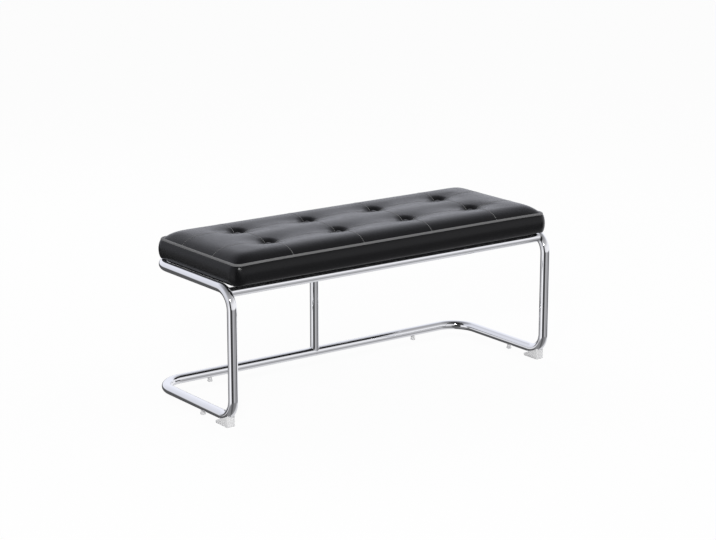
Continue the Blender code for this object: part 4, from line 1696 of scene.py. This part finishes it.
@dataclass
class Studio:
    """The camera of the photograph, a white floor, soft light and the room that the chrome mirrors.

    A ramp over the turn of the room goes from 0 to 1 clockwise, starting at the front; a ramp over height
    goes from the horizon to straight up.
    """

    focal_px: float = 2145.9
    picture: tuple[int, int] = (716, 540)
    middle_px: tuple[float, float] = (355.985, 306.998)
    camera_place: Place = (-3.2063, -4.4101, 1.6788)
    azimuth: float = math.radians(-36.04)
    elevation: float = math.radians(15.27)
    sensor: float = 36.0
    sight: float = 100.0
    floor_half: float = 30.0
    floor_colour: Colour = (0.82, 0.82, 0.825)
    floor_roughness: float = 0.9
    floor_white: float = 0.95
    tint: Colour = (0.965, 0.965, 1.0)
    cool: Colour = (0.90, 0.915, 1.0)
    ambient: Profile = ((0.0, 0.38), (1.0, 0.72))
    panels: Profile = (
        (0.0, 0.48),
        (0.058, 0.48),
        (0.076, 0.055),
        (0.200, 0.055),
        (0.214, 1.0),
        (0.310, 1.0),
        (0.326, 0.42),
        (0.366, 0.42),
        (0.376, 0.76),
        (0.405, 0.76),
        (0.412, 0.10),
        (0.598, 0.10),
        (0.606, 1.0),
        (0.765, 1.0),
        (0.785, 0.10),
        (0.870, 0.10),
        (0.886, 0.55),
        (0.904, 0.55),
        (0.916, 0.30),
        (0.968, 0.30),
        (0.985, 0.48),
        (1.0, 0.48),
    )
    underfoot: Profile = (
        (0.0, 0.25),
        (0.060, 0.25),
        (0.080, 0.12),
        (0.200, 0.12),
        (0.224, 0.25),
        (0.350, 0.25),
        (0.370, 0.10),
        (0.595, 0.10),
        (0.610, 0.70),
        (0.825, 0.70),
        (0.850, 0.34),
        (0.900, 0.38),
        (0.920, 0.25),
        (1.0, 0.25),
    )
    front_wall: Profile = ((0.0, 0.95), (0.32, 0.92), (0.55, 0.58), (0.80, 0.38), (1.0, 0.22))
    back_wall: Profile = ((0.0, 1.0), (0.55, 1.0), (0.80, 0.52), (1.0, 0.22))
    flag_height: Profile = ((0.0, 0.0), (0.105, 0.0), (0.125, 0.5), (0.200, 0.5), (0.222, 0.0), (1.0, 0.0))
    front_to_back: tuple[float, float] = (-0.2, 0.35)
    panels_to_underfoot: tuple[float, float] = (-0.38, -0.46)
    walls_to_panels: tuple[float, float] = (-0.02, -0.12)
    side_dimming: tuple[float, float, float, float] = (-0.65, 0.2, 0.80, 1.0)
    aim: Place = (0.0, 0.0, 0.3)
    soft_boxes: Sequence[tuple] = (
        ("key_box", (-2.37, -2.60, 2.31), (0.42, 0.42), 58.0, True),
        ("fill_box", (2.6, -1.2, 2.4), (1.8, 1.8), 22.0, False),
        ("back_box", (0.4, 2.6, 2.6), (2.6, 1.2), 35.0, False),
    )

    def place_camera(self) -> None:
        """Sets the camera at the photograph's point of view."""
        data = bpy.data.cameras.new("camera")
        width, height = self.picture
        data.sensor_fit = "HORIZONTAL"
        data.sensor_width = self.sensor
        data.lens = self.focal_px * self.sensor / width
        data.shift_x = (width / 2 - self.middle_px[0]) / width
        data.shift_y = (self.middle_px[1] - height / 2) / width
        data.clip_end = self.sight
        camera = link(bpy.data.objects.new("camera", data))
        level = math.cos(self.elevation)
        back = Vector(
            (math.sin(self.azimuth) * level, -math.cos(self.azimuth) * level, math.sin(self.elevation))
        )
        camera.location = self.camera_place
        camera.rotation_mode = "QUATERNION"
        camera.rotation_quaternion = (-back).to_track_quat("-Z", "Y")
        bpy.context.scene.camera = camera

    def lay_floor(self) -> None:
        """Lays a white floor that keeps a faint shadow."""
        half = self.floor_half
        corners = [(-half, -half, 0.0), (half, -half, 0.0), (half, half, 0.0), (-half, half, 0.0)]
        material = bpy.data.materials.new("white_floor")
        material.use_nodes = True
        sheet = NodeSheet(material.node_tree)
        shader = material.node_tree.nodes["Principled BSDF"]
        shader.inputs["Base Color"].default_value = (*self.floor_colour, 1.0)
        shader.inputs["Roughness"].default_value = self.floor_roughness
        shader.inputs["Specular IOR Level"].default_value = 0.0
        seen = sheet.out("ShaderNodeLightPath", output="Is Camera Ray")
        white = sheet.out("ShaderNodeEmission", {"Color": (*WHITE, 1.0), "Strength": 1.0})
        part = sheet.calc("MULTIPLY", seen, self.floor_white)
        mixed = sheet.out("ShaderNodeMixShader", {0: part, 1: shader.outputs[0], 2: white})
        sheet.tree.links.new(mixed, material.node_tree.nodes["Material Output"].inputs["Surface"])
        floor = mesh_piece("floor", corners, [(0, 1, 2, 3)], material)
        floor.visible_glossy = False

    @staticmethod
    def grey_ramp(sheet: NodeSheet, value: Socket, stops: Profile, tint: Colour = WHITE) -> Socket:
        """Adds a ramp of tinted greys over a value from 0 to 1.

        Args:
            sheet: where nodes are added.
            value: what the ramp goes over.
            stops: a place and a grey for each stop.
            tint: the colour that the greys are shades of.

        Returns:
            The ramp's colour.
        """
        ramp = sheet.add("ShaderNodeValToRGB", {0: value})
        elements = ramp.color_ramp.elements
        while len(elements) < len(stops):
            elements.new(0.5)
        for element, (position, grey) in zip(elements, stops):
            element.position = position
            element.color = (*[grey * part for part in tint], 1.0)
        return ramp.outputs[0]

    @staticmethod
    def looking(sheet: NodeSheet) -> tuple[Socket, ...]:
        """The X, Y and Z of the way that a ray leaves the room."""
        way = sheet.add("ShaderNodeSeparateXYZ", {0: sheet.out("ShaderNodeTexCoord", output="Generated")})
        return tuple(way.outputs[axis] for axis in "XYZ")

    def mirrored_room(self, sheet: NodeSheet) -> Socket:
        """Adds what gloss shows: pale walls, a dimmer ceiling, and dark and pale panels below the horizon.

        Args:
            sheet: where nodes are added.

        Returns:
            The room's colour.
        """
        x, y, z = self.looking(sheet)
        turn = sheet.span(sheet.calc("ARCTAN2", x, y), -math.pi, math.pi)
        front = self.grey_ramp(sheet, z, self.front_wall, self.tint)
        back = self.grey_ramp(sheet, z, self.back_wall, self.cool)
        upper = sheet.mix(sheet.span(y, *self.front_to_back), front, back)
        walls = sheet.mix(1.0, upper, sheet.span(x, *self.side_dimming), "MULTIPLY")
        panels = self.grey_ramp(sheet, turn, self.panels, self.tint)
        underfoot = self.grey_ramp(sheet, turn, self.underfoot, self.tint)
        lower = sheet.mix(sheet.span(z, *self.panels_to_underfoot), panels, underfoot)
        over_flag = sheet.calc("SUBTRACT", z, self.grey_ramp(sheet, turn, self.flag_height))
        return sheet.mix(sheet.span(over_flag, *self.walls_to_panels), walls, lower)

    def light(self) -> None:
        """Sets the surroundings and the soft boxes."""
        world = bpy.data.worlds.new("studio")
        bpy.context.scene.world = world
        world.use_nodes = True
        sheet = NodeSheet(world.node_tree)
        world.node_tree.nodes.clear()
        seen = sheet.add("ShaderNodeLightPath").outputs
        across = sheet.span(self.looking(sheet)[0], -1.0, 1.0)
        soft = self.grey_ramp(sheet, across, self.ambient)
        glossy = sheet.mix(seen["Is Glossy Ray"], soft, self.mirrored_room(sheet))
        bare = sheet.calc("MAXIMUM", seen["Is Camera Ray"], seen["Is Transmission Ray"])
        shown = sheet.mix(bare, glossy, (*WHITE, 1.0))
        background = sheet.out("ShaderNodeBackground", {"Color": shown, "Strength": 1.0})
        sheet.add("ShaderNodeOutputWorld", {"Surface": background})
        for name, place, size, power, mirrored in self.soft_boxes:
            data = bpy.data.lights.new(name, "AREA")
            data.shape = "RECTANGLE"
            data.size, data.size_y = size
            data.energy = power
            lamp = link(bpy.data.objects.new(name, data))
            lamp.location = place
            lamp.rotation_mode = "QUATERNION"
            lamp.rotation_quaternion = (Vector(self.aim) - Vector(place)).to_track_quat("-Z", "Y")
            lamp.visible_glossy = mirrored

    def build(self) -> None:
        """Sets up the whole studio."""
        bpy.context.scene.view_settings.view_transform = "Standard"
        self.place_camera()
        self.lay_floor()
        self.light()


def main() -> None:
    """Builds the studio and the bench, piece by piece."""
    logging.basicConfig(level=logging.INFO, format="%(message)s", stream=sys.stdout)
    Studio().build()
    finishes, growth = Finishes(), Growth()
    TubeFrame().build(growth, finishes)
    Feet().build(finishes)
    Cushion().build(growth, finishes)
    Underside().build(growth, finishes)
    KeptSolids(finishes).dress()


if __name__ == "__main__":
    main()
